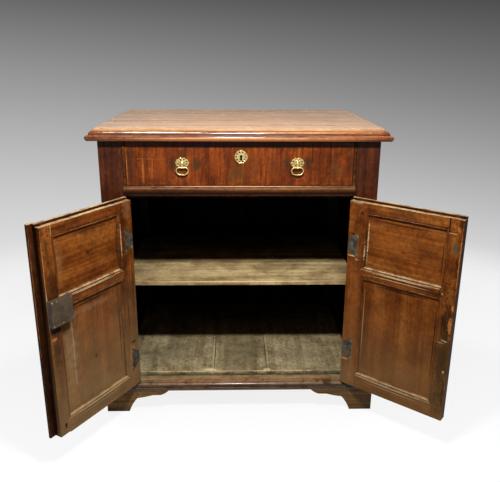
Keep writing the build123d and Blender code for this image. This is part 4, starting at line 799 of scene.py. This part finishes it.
def makeEscutcheon():
    look = escutcheonLook
    head, rise, drop = look["keyHead"], look["keyRise"], look["keyDrop"]
    neck, foot = look["keyFoot"]
    first, each, count = look["keyArc"]
    key = [(-foot, -drop), (foot, -drop), (neck, -rise)]
    key += [(head * math.cos(turn), rise + head * math.sin(turn))
            for turn in [math.radians(first + each * step) for step in range(count)]]
    key += [(-neck, -rise)]
    outlines = [ringLine((0, 0), (look["radius"],) * 2, count=look["sides"]), key]
    for step in range(look["holes"]):
        turn = math.radians(90 + (step + 0.5) * 360 / look["holes"])
        middle = (look["holeRing"] * math.cos(turn), look["holeRing"] * math.sin(turn))
        outlines.append(ringLine(middle, look["hole"], turn, look["holeSides"]))
    plate = sheetOf(outlines, look["thick"], plateLook["bevel"])
    hoop(plate, look["radius"] - look["rim"], look["rim"], -look["rimOut"], look["rimSides"])
    x, z = look["middle"]
    bmesh.ops.translate(plate, verts=plate.verts, vec=onCarcass(x, -look["thick"] / 2 - plateLook["stand"], z))
    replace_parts(finished("escutcheonPlate", plate, "drawer", oldBrass), "drawer_escutcheon")
    shade = shadeSheet(look["shadeAndDirt"], look["shadeSides"])
    bmesh.ops.translate(shade, verts=shade.verts, vec=onCarcass(x, -plateLook["shadeStand"], z))
    finished("keyholeShade", shade, "drawer", shadeFill)


# the pierced handle plates, each with a small tongue below
handleLook = {"across": 156, "height": 759, "radii": (17.9, 13.4), "sides": 120, "lobes": 10, "lobe": 0.05,
              "thick": 1.3, "holes": 8, "ring": (12.4, 8.9), "hole": (2.7, 1.5), "holeSides": 14, "boss": 7.4,
              "bossWire": 0.8, "bossOut": 0.7, "bossSides": 32, "tongue": 4.2, "tongueTurn": 0.3,
              "shadeAndDirt": (16.2, 11.8), "shadeSides": 40}


def makeHandlePlates():
    look = handleLook
    plates, shades = bmesh.new(), bmesh.new()
    edge = []
    for step in range(look["sides"]):
        turn = 2 * math.pi * step / look["sides"]
        swell = 1 + look["lobe"] * math.cos(look["lobes"] * turn)
        below = max(0.0, 1 - abs(math.atan2(math.cos(turn), -math.sin(turn))) / look["tongueTurn"])
        edge.append((look["radii"][0] * swell * math.cos(turn),
                     look["radii"][1] * swell * math.sin(turn) - look["tongue"] * below))
    outlines = [edge]
    for step in range(look["holes"]):
        turn = 2 * math.pi * (step + 0.5) / look["holes"]
        middle = (look["ring"][0] * math.cos(turn), look["ring"][1] * math.sin(turn))
        outlines.append(ringLine(middle, look["hole"], turn, look["holeSides"]))
    for side in (-1, 1):
        plate = sheetOf(outlines, look["thick"], plateLook["bevel"])
        hoop(plate, look["boss"], look["bossWire"], -look["bossOut"], look["bossSides"])
        shade = shadeSheet(look["shadeAndDirt"], look["shadeSides"])
        for part, whole, out in ((plate, plates, look["thick"] / 2 + plateLook["stand"]),
                                 (shade, shades, plateLook["shadeStand"])):
            bmesh.ops.translate(part, verts=part.verts, vec=onCarcass(side * look["across"], -out, look["height"]))
            held = bpy.data.meshes.new("part")
            part.to_mesh(held)
            part.free()
            whole.from_mesh(held)
            bpy.data.meshes.remove(held)
    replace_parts(finished("handlePlates", plates, "drawer", oldBrass), "handle_backplates")
    finished("handlePlateShades", shades, "drawer", shadeFill)


# clouts: nail heads on the lock, the hinge wings and the right door's stile; u, z and head radius
cloutLook = {"rise": 0.5, "across": 16, "around": 8, "lockFace": 36, "innerFace": 23}
lockClouts = [(311.5, 472, 2.6), (298, 473, 2.4), (253, 414, 2.4), (283, 412.5, 2.4), (311.5, 412.5, 2.6),
              (253, 472, 2.2)]
wingClouts = [(31, 27, 2.6), (31, -27, 2.6), (14, 4, 2.3)]
wingHeights = {"left": (186, 549), "right": (214, 534)}
stileClouts = [(282.3, 457.4, 3.0), (307.5, 241.4, 4.4)]


def cloutsOn(shape, side, places, face):
    flat = Matrix.Diagonal((1, cloutLook["rise"], 1, 1))
    for u, z, radius in places:
        place = doorFrame(side) @ Matrix.Translation((u / 1000, face / 1000, z / 1000)) @ flat
        bmesh.ops.create_uvsphere(shape, u_segments=cloutLook["across"], v_segments=cloutLook["around"],
                                  radius=radius / 1000, matrix=place)


def makeClouts():
    lock = bmesh.new()
    cloutsOn(lock, "left", lockClouts, cloutLook["lockFace"])
    finished("lockClouts", lock, "left_door", wornIron)
    for side in ("left", "right"):
        wings = bmesh.new()
        for height in wingHeights[side]:
            cloutsOn(wings, side, [(u, height + rise, radius) for u, rise, radius in wingClouts],
                     cloutLook["innerFace"])
        if side == "right":
            cloutsOn(wings, side, stileClouts, cloutLook["innerFace"])
        finished(side + "DoorClouts", wings, side + "_door", wornIron)


# a near-black strip in each seam between the back boards: painted shade in the gaps
seamLook = {"shares": (0.335, 0.637, 0.897), "width": 2.4, "thick": 3.0, "back": 2.0, "short": 2.0, "bevel": 0.4}


def makeSeamShade():
    look = seamLook
    low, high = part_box("back_boards")
    shape = bmesh.new()
    for share in look["shares"]:
        place = Vector((low.x + share * (high.x - low.x), (low.y + high.y) / 2 + look["back"] / 1000,
                        (low.z + high.z) / 2))
        size = (look["width"] / 1000, look["thick"] / 1000, high.z - low.z - look["short"] / 1000)
        bar = bmesh.ops.create_cube(shape, size=1.0, matrix=Matrix.Translation(place) @ Matrix.Diagonal((*size, 1)))
        edges = list({edge for vert in bar["verts"] for edge in vert.link_edges})
        bmesh.ops.bevel(shape, geom=edges, offset=look["bevel"] / 1000, offset_type="OFFSET", segments=1, profile=0.5,
                        affect="EDGES", material=-1)
    finished("seamDirt", shape, "carcass", shadeFill)


makeEscutcheon()
makeHandlePlates()
makeClouts()
makeSeamShade()
# the sheets and strips made here are painted shade
print("brass, clouts and dirt made")

# floor, light and camera
paperFloor = {"reach": 3.2, "fade": (1.35, 2.1), "bounce": 0.45, "shadowShare": 0.12, "front": -0.4, "back": 1.6,
              "glow": ((0.0, 0.9), (0.35, 0.8), (1.0, 0.63))}


def makeFloor():
    look = paperFloor
    shape = bmesh.new()
    bmesh.ops.create_grid(shape, x_segments=2, y_segments=2, size=look["reach"])
    paper, tree = newMaterial("whitePaper")
    place = put(tree, "TexCoord").outputs["Object"]
    fade = eased(tree, vectorCalc(tree, "LENGTH", place), *look["fade"])
    back = put(tree, "MapRange", {"Value": parts(tree, place)["Y"], "From Min": look["front"],
                                  "From Max": look["back"]}).outputs[0]
    glow = ramp(tree, back, [(share, grey(value)) for share, value in look["glow"]])
    seen = put(tree, "AddShader")
    feed(tree, seen.inputs[0], put(tree, "Emission", {"Color": glow, "Strength": 1.0}).outputs[0])
    feed(tree, seen.inputs[1], put(tree, "BsdfDiffuse", {"Color": grey(look["shadowShare"])}).outputs[0])
    plain = put(tree, "BsdfDiffuse", {"Color": grey(look["bounce"])}).outputs[0]
    sight = mixed(tree, inSight(tree), plain, seen.outputs[0])
    endWith(tree, mixed(tree, fade, sight, put(tree, "BsdfTransparent").outputs[0]))
    shown("paperFloor", shape, paper)


backdrop = {"low": -0.62, "high": 0.12, "slope": -0.75, "slopeFrom": 0.25, "fill": 0.06,
            "greys": ((0.0, 0.97), (0.224, 0.87), (0.376, 0.78), (0.534, 0.56), (0.645, 0.42), (0.751, 0.295),
                      (0.851, 0.195), (0.949, 0.105))}


def makeBackground():  # pale below and grey above, a little darker to the right
    look = backdrop
    world = bpy.data.worlds.new("studio")
    bpy.context.scene.world = world
    world.use_nodes = True
    tree = world.node_tree
    tree.nodes.clear()
    aim = parts(tree, put(tree, "TexCoord").outputs["Generated"])
    height = put(tree, "MapRange", {"Value": aim["Z"], "From Min": look["low"], "From Max": look["high"]}).outputs[0]
    paper = ramp(tree, height, [(share, grey(value)) for share, value in look["greys"]])
    slope = times(tree, eased(tree, height, look["slopeFrom"], 1.0), look["slope"])
    aside = calc(tree, "ADD", times(tree, aim["X"], slope), 1.0)
    sight = put(tree, "Background", {"Color": paper, "Strength": aside}).outputs[0]
    fill = put(tree, "Background", {"Color": grey(1), "Strength": look["fill"]}).outputs[0]
    endWith(tree, mixed(tree, inSight(tree), fill, sight), "OutputWorld")


# size in metres, power, place and aim
lamps = {
    "keyLamp": ((0.2, 0.07), 18.0, (0, -600, 1322), (0, 140, 420)),
    "topLamp": ((1.8, 1.4), 14.0, (20, 230, 2500), (20, 130, 0)),
    "backLamp": ((2.4, 0.7), 12.0, (20, 2330, 1750), (20, 330, 850)),
    "leftLamp": ((1.2, 1.2), 24.0, (-1700, 1500, 950), (-380, 250, 420)),
    "rightLamp": ((1.2, 1.2), 24.0, (1700, 1500, 950), (380, 250, 420))}


def addLamp(name, size, power, place, aim):
    lamp = bpy.data.lights.new(name, "AREA")
    lamp.shape = "RECTANGLE"
    lamp.size, lamp.size_y = size
    lamp.energy = power
    made = link(name, lamp)
    made.location = place
    made.rotation_euler = (aim - place).to_track_quat("-Z", "Y").to_euler()


cameraLook = {"sensor": 36, "lens": 41.91, "yaw": 0.0277, "pitch": 0.3102, "roll": 0.0063,
              "place": (-14.89, -1563.02, 1038.01)}


def makeCamera():
    look = cameraLook
    lens = bpy.data.cameras.new("camera")
    lens.sensor_width, lens.lens = look["sensor"], look["lens"]
    made = link("camera", lens)
    yaw, pitch, roll = look["yaw"], look["pitch"], look["roll"]
    ahead = Vector((math.sin(yaw) * math.cos(pitch), math.cos(yaw) * math.cos(pitch), -math.sin(pitch)))
    right = Vector((math.cos(yaw), -math.sin(yaw), 0))
    up = right.cross(ahead)
    right, up = right * math.cos(roll) + up * math.sin(roll), up * math.cos(roll) - right * math.sin(roll)
    turn = Matrix((right, up, -ahead)).transposed()
    made.matrix_world = Matrix.Translation(onCarcass(*look["place"])) @ turn.to_4x4()
    bpy.context.scene.camera = made


makeFloor()
makeBackground()
for name, (size, power, place, aim) in lamps.items():
    addLamp(name, size, power, onCarcass(*place), onCarcass(*aim))
makeCamera()
view = bpy.context.scene.view_settings
view.view_transform = "Standard"
print("floor, lamps and camera set")
